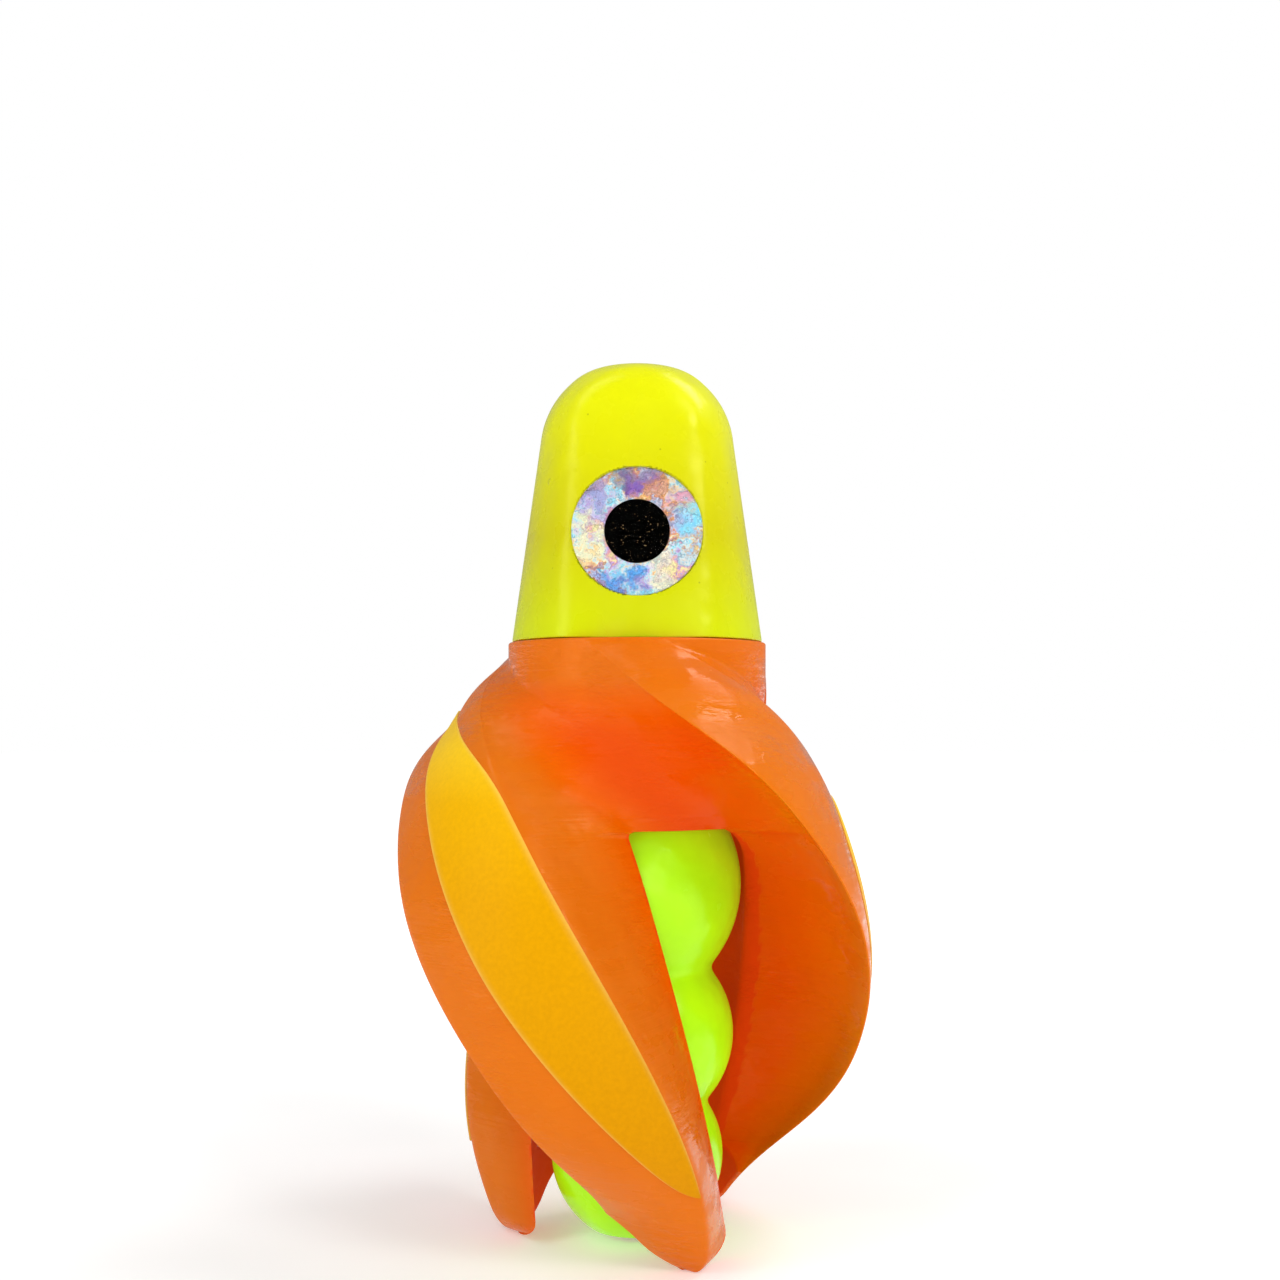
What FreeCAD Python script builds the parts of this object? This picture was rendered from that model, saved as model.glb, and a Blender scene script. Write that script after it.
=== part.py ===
"""Spinning fishing lure: a round-nosed head and a three-lobed body are fixed on one centre tube, and a
three-vaned rotor turns on that tube between them.

Frame: millimetres, +Z up along the tube, origin on the axis at the level of the vane tips.
"""

import FreeCAD
import Part
import math
import os

import Sketcher
from FreeCAD import Placement, Rotation, Vector

SHEET = "sizes"
VANE_COUNT = 3
VANE_PITCH = 360.0 / VANE_COUNT

SIZES = {
    # centre tube and the sleeves that finish its ends
    "TubeRadius": 2.0,
    "TubeBoreRadius": 1.1,
    "TubeBottom": 0.45,
    "TubeLength": 82.55,
    "SleeveWall": 0.6,
    "SleeveLength": 3.0,
    "FlangeOverhang": 0.4,
    "FlangeThickness": 0.4,
    # head
    "HeadBottom": 57.0,
    "HeadBaseRadius": 12.05,
    "HeadShoulderHeight": 76.2,
    "HeadShoulderRadius": 9.3,
    "HeadCrownHeight": 81.6,
    "HeadCrownRadius": 6.6,
    "HeadBulge": 0.5,
    "HeadTop": 83.3,
    "CrownBulge": 0.55,
    # cheeks and eyes
    "EyeHeight": 66.8,
    "CheekDistance": 8.95,
    "CheekLean": 8.4,
    "EyeRadius": 6.0,
    "EyeSeatGap": 0.08,
    "EyeSeatDepth": 0.45,
    "FoilThickness": 0.15,
    "PupilRadius": 3.0,
    "PupilThickness": 0.06,
    "DomeEdge": 0.35,
    "DomeHeight": 0.95,
    # body with three lobes
    "BodyTop": 39.3,
    "BodyTopRadius": 8.7,
    "LobeOneHeight": 33.4,
    "LobeOneRadius": 10.0,
    "NeckOneHeight": 25.7,
    "NeckOneRadius": 6.9,
    "LobeTwoHeight": 19.9,
    "LobeTwoRadius": 9.25,
    "NeckTwoHeight": 12.9,
    "NeckTwoRadius": 6.55,
    "LobeThreeHeight": 7.6,
    "LobeThreeRadius": 8.25,
    "BodyBottom": 0.85,
    "BodyBottomRadius": 4.6,
    # rotor: hub and the hollow under it
    "CollarTop": 56.9,
    "CollarRadius": 12.4,
    "CollarBottom": 52.5,
    "CeilingHeight": 39.4,
    "WaistRadius": 9.8,
    "WaistBulge": 0.35,
    "HollowRadius": 10.35,
    "MouthRadius": 11.5,
    # rotor: vanes, as radii of the leading and the trailing ridge at seven levels
    "LevelTip": 5.7,
    "LevelSkirt": 10.5,
    "LevelLow": 20.0,
    "LevelBelly": 33.0,
    "LevelUpper": 41.0,
    "LevelShoulder": 47.0,
    "LevelNeck": 52.6,
    "LeadAtFoot": 3.3,
    "LeadAtTip": 11.4,
    "LeadAtSkirt": 16.6,
    "LeadAtLow": 21.8,
    "LeadAtBelly": 23.7,
    "LeadAtUpper": 22.8,
    "LeadAtShoulder": 20.6,
    "LeadAtNeck": 15.2,
    "TrailAtFoot": 13.4,
    "TrailAtTip": 16.0,
    "TrailAtSkirt": 17.5,
    "TrailAtLow": 18.9,
    "TrailAtBelly": 19.4,
    "TrailAtUpper": 18.5,
    "TrailAtShoulder": 17.0,
    "TrailAtNeck": 14.6,
    "RidgeAtCollar": 12.1,
    "CrestCrown": 1.0,
    # rotor: vanes, as angles about the axis
    "LeadStart": 263.5,
    "LeadTwist": 103.0,
    "CollarTwist": 34.0,
    "CrestAngle": 48.2,
    "CrestNarrowing": 14.0,
    "CrestCollarNarrowing": 16.0,
    "TrailFlankAngle": 22.2,
    "TrailFlankSpread": 4.6,
    "LeadFlankAngle": 32.0,
    "LeadHollow": 1.7,
    "TrailHollow": 0.4,
    "TipRound": 2.2,
    "TipMiddle": 293.0,
    # stripes
    "StripeBottom": 8.0,
    "StripeTop": 50.4,
    "StripeShare": 0.58,
    "StripeShoulder": 4.5,
    "NarrowStripeBottom": 5.4,
    "NarrowStripeTop": 42.6,
    "NarrowStripeShare": 0.85,
    "StripeGap": 0.06,
    "StripeThickness": 0.2,
    # bearings
    "BushWall": 1.4,
    "RunningGap": 0.05,
    "BushLength": 6.0,
    "BushFlangeRadius": 5.2,
    "BushFlangeThickness": 0.8,
    "WasherRadius": 4.9,
    "SteelWasherThickness": 0.4,
    "NylonWasherThickness": 0.5,
    "AxialGap": 0.05,
}


# ---- sheet ----


def make_sheet(doc):
    """One row for each size: its name, then its value, which carries the name as alias."""
    sheet = doc.addObject("Spreadsheet::Sheet", SHEET)
    for row, (name, value) in enumerate(SIZES.items(), start=1):
        sheet.set(f"A{row}", name)
        sheet.set(f"B{row}", str(value))
        sheet.setAlias(f"B{row}", name)
    doc.recompute()
    return sheet


def size(name):
    """The value that the sheet holds now."""
    return float(getattr(FreeCAD.ActiveDocument.getObject(SHEET), name))


def bound(formula):
    """A formula in size names, written with the sheet in front of each name."""
    words = formula.replace("(", "( ").replace(")", " )").split()
    return " ".join(f"{SHEET}.{word}" if word in SIZES else word for word in words)


def value_of(formula):
    return float(FreeCAD.ActiveDocument.getObject(SHEET).evalExpression(bound(formula)))


# ---- turned pieces: a closed half profile, revolved about the axis ----


def turned(doc, name, profile, bulges=None):
    """A body turned from (radius, height) formulas. bulges gives a side a point that its arc passes."""
    bulges = bulges or {}
    body = doc.addObject("PartDesign::Body", name)
    body.Label = name
    sketch = body.newObject("Sketcher::SketchObject", name + "_profile")
    plane = next(item for item in body.Origin.OriginFeatures if item.Role == "XZ_Plane")
    sketch.AttachmentSupport = [(plane, "")]
    sketch.MapMode = "FlatFace"
    corners = [Vector(value_of(r), value_of(h), 0) for r, h in profile]
    count = len(corners)
    for side, start in enumerate(corners):
        end = corners[(side + 1) % count]
        if side in bulges:
            r, h = bulges[side]
            middle = Vector(value_of(r), value_of(h), 0)
            arc = Part.Arc(start, middle, end)
            sketch.addGeometry(arc, False)
        else:
            sketch.addGeometry(Part.LineSegment(start, end), False)
    for side in range(count):
        join_sides(sketch, corners, bulges, side)
    for side, (r, h) in enumerate(profile):
        pin_point(sketch, side, side_start(sketch, side, corners), r, h)
    for side, (r, h) in bulges.items():
        point = sketch.addGeometry(Part.Point(Vector(value_of(r), value_of(h), 0)), True)
        sketch.addConstraint(Sketcher.Constraint("PointOnObject", point, 1, side))
        pin_point(sketch, point, 1, r, h)
    turn = body.newObject("PartDesign::Revolution", name + "_turn")
    turn.Profile = sketch
    turn.ReferenceAxis = (sketch, ["V_Axis"])
    turn.Angle = 360
    body.Tip = turn
    return body


def side_start(sketch, side, corners):
    """Which end of a side is its first corner: an arc may have been stored the other way round."""
    start = sketch.getPoint(side, 1)
    return 1 if start.distanceToPoint(corners[side]) < 1e-6 else 2


def join_sides(sketch, corners, bulges, side):
    following = (side + 1) % len(corners)
    own_end = 3 - side_start(sketch, side, corners)
    next_start = side_start(sketch, following, corners)
    sketch.addConstraint(Sketcher.Constraint("Coincident", side, own_end, following, next_start))


def pin_point(sketch, geometry, end, radius, height):
    """Hold a point at a radius and a height that follow the sheet."""
    for kind, formula in (("DistanceX", radius), ("DistanceY", height)):
        index = sketch.addConstraint(
            Sketcher.Constraint(kind, -1, 1, geometry, end, value_of(formula)))
        sketch.setExpression(f"Constraints[{index}]", bound(formula))


def ring(doc, name, inner, outer, bottom, top):
    return turned(doc, name, [(inner, bottom), (outer, bottom), (outer, top), (inner, top)])


def sleeve(doc, name, inner, wall, flange, mouth, flange_end, far_end):
    """A flanged sleeve: the flange lies from mouth to flange_end, the sleeve runs on to far_end."""
    outer = f"{inner} + {wall}"
    profile = [
        (inner, mouth), (flange, mouth), (flange, flange_end),
        (outer, flange_end), (outer, far_end), (inner, far_end),
    ]
    return turned(doc, name, profile)


# ---- centre tube and end sleeves ----


FLANGE_RADIUS = "TubeRadius + SleeveWall + FlangeOverhang"


def tube_pieces(doc):
    tube_top = "TubeBottom + TubeLength"
    ring(doc, "centre_tube", "TubeBoreRadius", "TubeRadius", "TubeBottom", tube_top)
    sleeve(doc, "tail_sleeve", "TubeRadius", "SleeveWall", FLANGE_RADIUS,
           "TubeBottom", "TubeBottom + FlangeThickness", "TubeBottom + SleeveLength")
    sleeve(doc, "nose_sleeve", "TubeRadius", "SleeveWall", FLANGE_RADIUS,
           tube_top, f"{tube_top} - FlangeThickness", f"{tube_top} - SleeveLength")


# ---- head ----


def head(doc):
    """Tapered sides, a domed crown, a sleeve seat at the nose, a flat on each side for an eye."""
    tube_top = "TubeBottom + TubeLength"
    sleeve_radius = "TubeRadius + SleeveWall"
    profile = [
        ("TubeRadius", "HeadBottom"),
        ("HeadBaseRadius", "HeadBottom"),
        ("HeadShoulderRadius", "HeadShoulderHeight"),
        ("HeadCrownRadius", "HeadCrownHeight"),
        (FLANGE_RADIUS, "HeadTop"),
        (FLANGE_RADIUS, f"{tube_top} - FlangeThickness"),
        (sleeve_radius, f"{tube_top} - FlangeThickness"),
        (sleeve_radius, f"{tube_top} - SleeveLength"),
        ("TubeRadius", f"{tube_top} - SleeveLength"),
    ]
    bulges = {
        2: ("( HeadShoulderRadius + HeadCrownRadius ) / 2 + HeadBulge",
            "( HeadShoulderHeight + HeadCrownHeight ) / 2 + HeadBulge / 2"),
        3: (f"( HeadCrownRadius + {FLANGE_RADIUS} ) / 2 + CrownBulge / 2",
            "( HeadCrownHeight + HeadTop ) / 2 + CrownBulge / 2"),
    }
    blank = turned(doc, "head_blank", profile, bulges)
    shape = blank
    for side, turn in (("front", 180), ("back", 0)):
        cutter = doc.addObject("Part::Box", f"cheek_cutter_{side}")
        cutter.setExpression("Length", bound("HeadBaseRadius * 4"))
        cutter.setExpression("Width", bound("HeadBaseRadius"))
        cutter.setExpression("Height", bound("( HeadTop - HeadBottom ) * 2"))
        place_on_cheek(cutter, turn, "( 0 - 2 ) * HeadBaseRadius", "0 * CheekLean",
                       "HeadBottom - HeadTop")
        shape = cut(doc, f"head_with_{side}_cheek", shape, cutter)
        seat = doc.addObject("Part::Cylinder", f"eye_seat_{side}")
        seat.setExpression("Radius", bound("EyeRadius + EyeSeatGap"))
        seat.setExpression("Height", bound("HeadBaseRadius"))
        place_disc(seat, turn, "( 0 - 1 ) * EyeSeatDepth")
        shape = cut(doc, f"head_with_{side}_seat", shape, seat)
    shape.Label = "head"
    return shape


def cheek_rotation(turn):
    """Turns a piece drawn facing +Y to face outwards from its cheek, which leans back with height."""
    lean = Rotation(Vector(1, 0, 0), size("CheekLean"))
    return Rotation(Vector(0, 0, 1), turn).multiply(lean)


def place_on_cheek(piece, turn, across, outwards, along):
    """Place a box by its corner, in the cheek's own axes."""
    rotation = cheek_rotation(turn)
    offset = Vector(value_of(across), value_of(outwards), value_of(along))
    piece.Placement = Placement(cheek_centre(turn) + rotation.multVec(offset), rotation)


def place_disc(piece, turn, outwards):
    """Place a piece drawn along +Z so that it stands on the cheek, facing out."""
    rotation = cheek_rotation(turn)
    offset = rotation.multVec(Vector(0, value_of(outwards), 0))
    upright = Rotation(Vector(1, 0, 0), -90)
    piece.Placement = Placement(cheek_centre(turn) + offset, rotation.multiply(upright))


def cheek_centre(turn):
    outwards = Rotation(Vector(0, 0, 1), turn).multVec(Vector(0, size("CheekDistance"), 0))
    return outwards + Vector(0, 0, size("EyeHeight"))


def cut(doc, name, base, tool):
    result = doc.addObject("Part::Cut", name)
    result.Base = base
    result.Tool = tool
    return result


# ---- eyes: foil disc, pupil disc and a clear dome over both ----


def eye(doc, side, turn):
    foil = doc.addObject("Part::Cylinder", f"eye_foil_{side}")
    foil.setExpression("Radius", bound("EyeRadius"))
    foil.setExpression("Height", bound("FoilThickness"))
    place_disc(foil, turn, "( 0 - 1 ) * EyeSeatDepth")
    pupil = doc.addObject("Part::Cylinder", f"eye_pupil_{side}")
    pupil.setExpression("Radius", bound("PupilRadius"))
    pupil.setExpression("Height", bound("PupilThickness"))
    place_disc(pupil, turn, "FoilThickness - EyeSeatDepth")
    ball = "( ( EyeRadius ^ 2 + DomeHeight ^ 2 ) / ( 2 * DomeHeight ) )"
    halfway = f"DomeEdge + DomeHeight - {ball} + sqrt( {ball} ^ 2 - ( EyeRadius / 2 ) ^ 2 )"
    blank = turned(
        doc, f"eye_dome_blank_{side}",
        [("0 * EyeRadius", "0 * EyeRadius"), ("EyeRadius", "0 * EyeRadius"),
         ("EyeRadius", "DomeEdge"), ("0 * EyeRadius", "DomeEdge + DomeHeight")],
        {2: ("EyeRadius / 2", halfway)})
    place_disc(blank, turn, "FoilThickness - EyeSeatDepth")
    dome = cut(doc, f"eye_dome_{side}", blank, pupil)
    dome.Label = f"eye_dome_{side}"


# ---- body with three lobes ----


def ribbed_body(doc):
    """Three rounded lobes with a waist between each two, bored for the tube and for the tail sleeve."""
    sleeve_radius = "TubeRadius + SleeveWall"
    seat_top = "TubeBottom + SleeveLength"
    profile = [
        ("TubeRadius", "BodyTop"),
        ("BodyTopRadius", "BodyTop"),
        ("NeckOneRadius", "NeckOneHeight"),
        ("NeckTwoRadius", "NeckTwoHeight"),
        ("BodyBottomRadius", "BodyBottom"),
        (sleeve_radius, "BodyBottom"),
        (sleeve_radius, seat_top),
        ("TubeRadius", seat_top),
    ]
    bulges = {
        1: ("LobeOneRadius", "LobeOneHeight"),
        2: ("LobeTwoRadius", "LobeTwoHeight"),
        3: ("LobeThreeRadius", "LobeThreeHeight"),
    }
    turned(doc, "ribbed_body", profile, bulges)


# ---- bearings: two flanged bushes in the hub, and a steel and a nylon washer at each end ----

UPPER_STEEL_BOTTOM = "HeadBottom - SteelWasherThickness"
UPPER_NYLON_TOP = f"{UPPER_STEEL_BOTTOM} - AxialGap"
UPPER_BUSH_TOP = f"{UPPER_NYLON_TOP} - NylonWasherThickness - AxialGap"
LOWER_STEEL_TOP = "BodyTop + SteelWasherThickness"
LOWER_NYLON_BOTTOM = f"{LOWER_STEEL_TOP} + AxialGap"
LOWER_BUSH_BOTTOM = f"{LOWER_NYLON_BOTTOM} + NylonWasherThickness + AxialGap"
BUSH_BORE = "TubeRadius + RunningGap"


def bearings(doc):
    sleeve(doc, "upper_bush", BUSH_BORE, "BushWall", "BushFlangeRadius", UPPER_BUSH_TOP,
           f"{UPPER_BUSH_TOP} - BushFlangeThickness", f"{UPPER_BUSH_TOP} - BushLength")
    sleeve(doc, "lower_bush", BUSH_BORE, "BushWall", "BushFlangeRadius", LOWER_BUSH_BOTTOM,
           f"{LOWER_BUSH_BOTTOM} + BushFlangeThickness", f"{LOWER_BUSH_BOTTOM} + BushLength")
    ring(doc, "upper_steel_washer", "TubeRadius", "WasherRadius", UPPER_STEEL_BOTTOM, "HeadBottom")
    ring(doc, "upper_nylon_washer", BUSH_BORE, "WasherRadius",
         f"{UPPER_NYLON_TOP} - NylonWasherThickness", UPPER_NYLON_TOP)
    ring(doc, "lower_steel_washer", "TubeRadius", "WasherRadius", "BodyTop", LOWER_STEEL_TOP)
    ring(doc, "lower_nylon_washer", BUSH_BORE, "WasherRadius",
         LOWER_NYLON_BOTTOM, f"{LOWER_NYLON_BOTTOM} + NylonWasherThickness")


# ---- vanes: plan sections at a series of heights, lofted ----


def polar(radius, degrees, height=0.0):
    angle = math.radians(degrees)
    return Vector(radius * math.cos(angle), radius * math.sin(angle), height)


LEVELS = ["Tip", "Skirt", "Low", "Belly", "Upper", "Shoulder", "Neck"]


def level_curve(ridge):
    """A smooth run of ridge radius against height, through the ridge's values at the levels."""
    heights = [0.0] + [size("Level" + name) for name in LEVELS] + [size("CollarTop")]
    radii = [size(ridge + "Foot")] + [size(ridge + name) for name in LEVELS]
    radii.append(size("RidgeAtCollar"))
    curve = Part.BSplineCurve()
    curve.interpolate(Points=[Vector(h, r, 0) for h, r in zip(heights, radii)], Parameters=heights)
    return lambda height: curve.value(height).y


class VaneForm:
    """The vane as a function of height: its two ridges, the crest between them and its two flanks."""

    def __init__(self):
        self.lead_radius = level_curve("LeadAt")
        self.trail_radius = level_curve("TrailAt")
        self.top = size("CollarTop")

    def lead_angle(self, height):
        """The twist runs evenly along the vane and quickens towards the collar."""
        share = height / self.top
        return size("LeadStart") - size("LeadTwist") * share - size("CollarTwist") * share**8

    def trail_angle(self, height):
        """The crest keeps one width but for the tip and the collar, where it narrows."""
        share = height / self.top
        tip = size("CrestNarrowing") * (1 - share) ** 4
        collar = size("CrestCollarNarrowing") * share**8
        return self.lead_angle(height) + size("CrestAngle") - tip - collar

    def rounded(self, radius, degrees, height):
        """Below TipRound the section shrinks towards the middle of the tip, as an ellipse does."""
        depth = min(height / size("TipRound"), 1.0)
        fullness = math.sqrt(1 - (1 - depth) ** 2)
        middle = size("TipMiddle")
        hollow = size("HollowRadius")
        degrees = middle + (degrees - middle) * (0.3 + 0.7 * fullness)
        if radius > hollow:
            radius = hollow + (radius - hollow) * (0.7 + 0.3 * fullness)
        return radius, degrees

    def crest(self, height, across, lift=0.0):
        """A point of the crest: across is 0 on the leading ridge and 1 on the trailing ridge."""
        lead, trail = self.lead_radius(height), self.trail_radius(height)
        first, last = self.lead_angle(height), self.trail_angle(height)
        crown = size("CrestCrown") * self.nearness(height, "LevelNeck") * 4 * across * (1 - across)
        radius, degrees = self.rounded(
            lead + (trail - lead) * across + crown, first + (last - first) * across, height)
        return polar(radius + lift, degrees, height)

    def nearness(self, height, level):
        """1 at the level, falling smoothly to 0 at the collar's top and as far below the level."""
        reach = self.top - size(level)
        off = min(abs(height - size(level)) / reach, 1.0)
        return (1 - off * off) ** 2

    def flank(self, height, ridge_radius, ridge_angle, turn, reach, hollow):
        """Three points of a flank, from its ridge inwards past the hollow's wall, bowed by hollow."""
        wall = min(size("HollowRadius"), ridge_radius * 0.8)
        ridge = polar(*self.rounded(ridge_radius, ridge_angle, height), height)
        at_wall = polar(*self.rounded(wall, ridge_angle + turn, height), height)
        run = at_wall - ridge
        foot = ridge + run * reach
        bow = Vector(-run.y, run.x, 0).normalize() * hollow * run.Length / size("HollowRadius")
        return ridge, ridge + run * 0.5 + bow, foot

    def section(self, height):
        """The closed outline: crest, trailing flank, root, leading flank."""
        crest = [self.crest(height, step / 4) for step in range(5)]
        off_middle = min(abs(height / size("LevelLow") - 1), 1.0)
        trail_turn = size("TrailFlankAngle") + size("TrailFlankSpread") * off_middle**2
        trail = self.flank(height, self.trail_radius(height), self.trail_angle(height),
                           trail_turn, 1.35, -size("TrailHollow"))
        lead_turn = size("LeadFlankAngle") * (1 - (height / self.top) ** 5)
        lead = self.flank(height, self.lead_radius(height), self.lead_angle(height),
                          lead_turn, 1.15, -size("LeadHollow"))
        edges = [spline(crest), spline(trail), Part.LineSegment(trail[2], lead[2]).toShape(),
                 spline(lead[::-1])]
        return Part.Wire(edges)


def spline(points):
    curve = Part.BSplineCurve()
    curve.interpolate(list(points))
    return curve.toShape()


def loft(wires):
    solid = Part.makeLoft(wires, True, False)
    if solid.Volume < 0:
        solid.reverse()
    return solid


def vane_heights(form):
    """Close together over the round tip, then evenly to the top of the collar."""
    tip = size("TipRound")
    heights = [tip * share for share in (0, 0.06, 0.25, 0.55)]
    steps = 24
    return heights + [tip + (form.top - tip) * step / steps for step in range(steps + 1)]


def repeated_round_axis(doc, name, shapes):
    """One shape for each vane, turned by the vane pitch."""
    copies = []
    for index, shape in enumerate(shapes):
        feature = doc.addObject("Part::Feature", f"{name}_{index + 1}")
        feature.Label = feature.Name
        feature.Shape = shape
        feature.Placement = Placement(Vector(0, 0, 0), Rotation(Vector(0, 0, 1), VANE_PITCH * index))
        copies.append(feature)
    return copies


# ---- rotor: hub and three vanes, hollowed from below ----


def hub(doc):
    """A round collar that narrows to a waist, bored for the bushes, with a recess at each end."""
    bore = f"{BUSH_BORE} + BushWall"
    upper_floor = f"{UPPER_BUSH_TOP} - BushFlangeThickness"
    lower_floor = f"{LOWER_BUSH_BOTTOM} + BushFlangeThickness"
    profile = [
        ("BushFlangeRadius", "CeilingHeight"),
        ("WaistRadius", "CeilingHeight"),
        ("CollarRadius", "CollarBottom"),
        ("CollarRadius", "CollarTop"),
        ("BushFlangeRadius", "CollarTop"),
        ("BushFlangeRadius", upper_floor),
        (bore, upper_floor),
        (bore, lower_floor),
        ("BushFlangeRadius", lower_floor),
    ]
    bulges = {1: ("( WaistRadius + CollarRadius ) / 2 + WaistBulge",
                  "( CeilingHeight + CollarBottom ) / 2")}
    return turned(doc, "rotor_hub", profile, bulges)


def rotor(doc, form):
    blank = loft([form.section(height) for height in vane_heights(form)])
    vanes = repeated_round_axis(doc, "vane", [blank] * VANE_COUNT)
    floor = "( 0 - 1 ) * TipRound"
    hollow = turned(
        doc, "hollow",
        [("0 * HollowRadius", "CeilingHeight"), ("HollowRadius", "CeilingHeight"),
         ("HollowRadius", "TipRound"), ("MouthRadius", "0 * TipRound"),
         ("MouthRadius", floor), ("0 * HollowRadius", floor)],
        {2: ("HollowRadius + ( MouthRadius - HollowRadius ) * 0.3", "TipRound * 0.3")})
    pieces = [hub(doc)]
    for vane in vanes:
        pieces.append(cut(doc, f"{vane.Name}_hollowed", vane, hollow))
    solid = doc.addObject("Part::MultiFuse", "rotor")
    solid.Shapes = pieces
    solid.Label = "rotor"


def stripe_edges(height):
    """How far across the crest the stripe's two edges stand: a leaf, pointed at both ends."""
    bottom, top, share = size("StripeBottom"), size("StripeTop"), size("StripeShare")
    middle = (bottom + top) / 2
    low = min((height - middle) / (middle - bottom), 0.0)
    least = 0.05
    left = 1 - share * max(math.sqrt(1 - low * low), least)
    shoulder = size("StripeShoulder")
    rise = max(height - (top - shoulder), 0.0) / shoulder
    right = 1 - (share - least) * rise**1.6
    return left, right


def narrow_stripe_edges(height):
    """The second vane's stripe: one edge keeps to the ridge, the other is half an ellipse."""
    half = (size("NarrowStripeTop") - size("NarrowStripeBottom")) / 2
    off = (height - size("NarrowStripeBottom") - half) / half
    return 1 - size("NarrowStripeShare") * max(math.sqrt(max(1 - off * off, 0)), 0.05), 1.0


def stripe(form, bottom, top, edges):
    steps = 26
    wires = []
    for step in range(steps + 1):
        height = bottom + (top - bottom) * (1 - math.cos(math.pi * step / steps)) / 2
        left, right = edges(height)
        gap = size("StripeGap")
        lifts = (gap, gap + size("StripeThickness"))
        inner, outer = ([form.crest(height, left + (right - left) * part / 2, lift)
                         for part in range(3)] for lift in lifts)
        wires.append(Part.Wire([
            spline(outer), Part.LineSegment(outer[-1], inner[-1]).toShape(),
            spline(inner[::-1]), Part.LineSegment(inner[0], outer[0]).toShape()]))
    return loft(wires)


def stripes(doc, form):
    wide = stripe(form, size("StripeBottom"), size("StripeTop"), stripe_edges)
    narrow = stripe(form, size("NarrowStripeBottom"), size("NarrowStripeTop"), narrow_stripe_edges)
    repeated_round_axis(doc, "vane_stripe", [wide, narrow, wide])


# ---- whole ----

NODES = [
    "head", "nose_sleeve", "centre_tube", "tail_sleeve", "ribbed_body",
    "eye_foil_front", "eye_pupil_front", "eye_dome_front",
    "eye_foil_back", "eye_pupil_back", "eye_dome_back",
    "rotor", "vane_stripe_1", "vane_stripe_2", "vane_stripe_3",
    "upper_bush", "lower_bush", "upper_steel_washer", "upper_nylon_washer",
    "lower_steel_washer", "lower_nylon_washer",
]


def check(doc):
    """Every object computed, and every piece one valid closed solid."""
    for item in doc.Objects:
        if "Invalid" in item.State or "Error" in item.State:
            raise RuntimeError(f"{item.Name} failed: {item.State}")
    for node in NODES:
        shape = doc.getObjectsByLabel(node)[0].Shape
        if shape.isNull() or not shape.isValid() or len(shape.Solids) != 1:
            raise RuntimeError(f"{node} is not one valid solid")


def main():
    doc = FreeCAD.newDocument("spinning_lure")
    make_sheet(doc)
    tube_pieces(doc)
    head(doc)
    eye(doc, "front", 180)
    eye(doc, "back", 0)
    ribbed_body(doc)
    bearings(doc)
    form = VaneForm()
    rotor(doc, form)
    stripes(doc, form)
    doc.recompute()
    check(doc)
    os.makedirs("parts", exist_ok=True)
    for node in NODES:
        shape = doc.getObjectsByLabel(node)[0].Shape
        shape.exportStep(f"parts/{node}.step")
        print(f"{node}: {shape.Volume:.2f} mm3")


main()
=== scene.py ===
import math

import bmesh
import bpy
import numpy as np
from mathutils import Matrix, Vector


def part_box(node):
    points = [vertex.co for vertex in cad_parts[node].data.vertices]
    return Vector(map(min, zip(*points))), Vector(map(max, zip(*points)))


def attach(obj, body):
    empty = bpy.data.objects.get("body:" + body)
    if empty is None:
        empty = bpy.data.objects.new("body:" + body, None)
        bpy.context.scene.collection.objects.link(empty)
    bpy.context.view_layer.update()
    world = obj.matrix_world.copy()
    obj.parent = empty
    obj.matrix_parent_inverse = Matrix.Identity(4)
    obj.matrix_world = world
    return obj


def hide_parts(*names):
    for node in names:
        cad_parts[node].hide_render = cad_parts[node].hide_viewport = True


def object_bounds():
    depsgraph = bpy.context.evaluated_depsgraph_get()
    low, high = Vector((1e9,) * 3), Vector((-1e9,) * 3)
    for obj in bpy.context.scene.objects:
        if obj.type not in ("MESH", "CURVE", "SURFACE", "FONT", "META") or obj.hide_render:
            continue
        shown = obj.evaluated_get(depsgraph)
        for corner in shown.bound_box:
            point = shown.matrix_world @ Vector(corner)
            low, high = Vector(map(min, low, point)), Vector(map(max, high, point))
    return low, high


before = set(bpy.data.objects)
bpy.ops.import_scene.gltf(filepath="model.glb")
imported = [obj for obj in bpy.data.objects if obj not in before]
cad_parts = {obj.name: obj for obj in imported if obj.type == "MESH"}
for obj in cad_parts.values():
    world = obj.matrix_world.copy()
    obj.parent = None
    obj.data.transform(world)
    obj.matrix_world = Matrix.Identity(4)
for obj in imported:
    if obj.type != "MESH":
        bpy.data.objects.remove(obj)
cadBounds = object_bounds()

mm = 0.001  # every length below is written in millimetres and multiplied once, on the way into a mesh


def heights(node):
    # lowest and highest point of a CAD node, in millimetres
    low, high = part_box(node)
    return low[2] / mm, high[2] / mm


def reach(node):
    # largest sideways distance of a round CAD node from the axis, in millimetres
    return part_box(node)[1][0] / mm


# camera, floor and light

view = {
    "distance": 154.1,  # from the axis to the lens
    "height": 49.3,
    "lens": 44.8,
    "rise": 0.0642,  # how far the frame is slid up and across, as a share of its width
    "slide": 0.0023,
}


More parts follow.
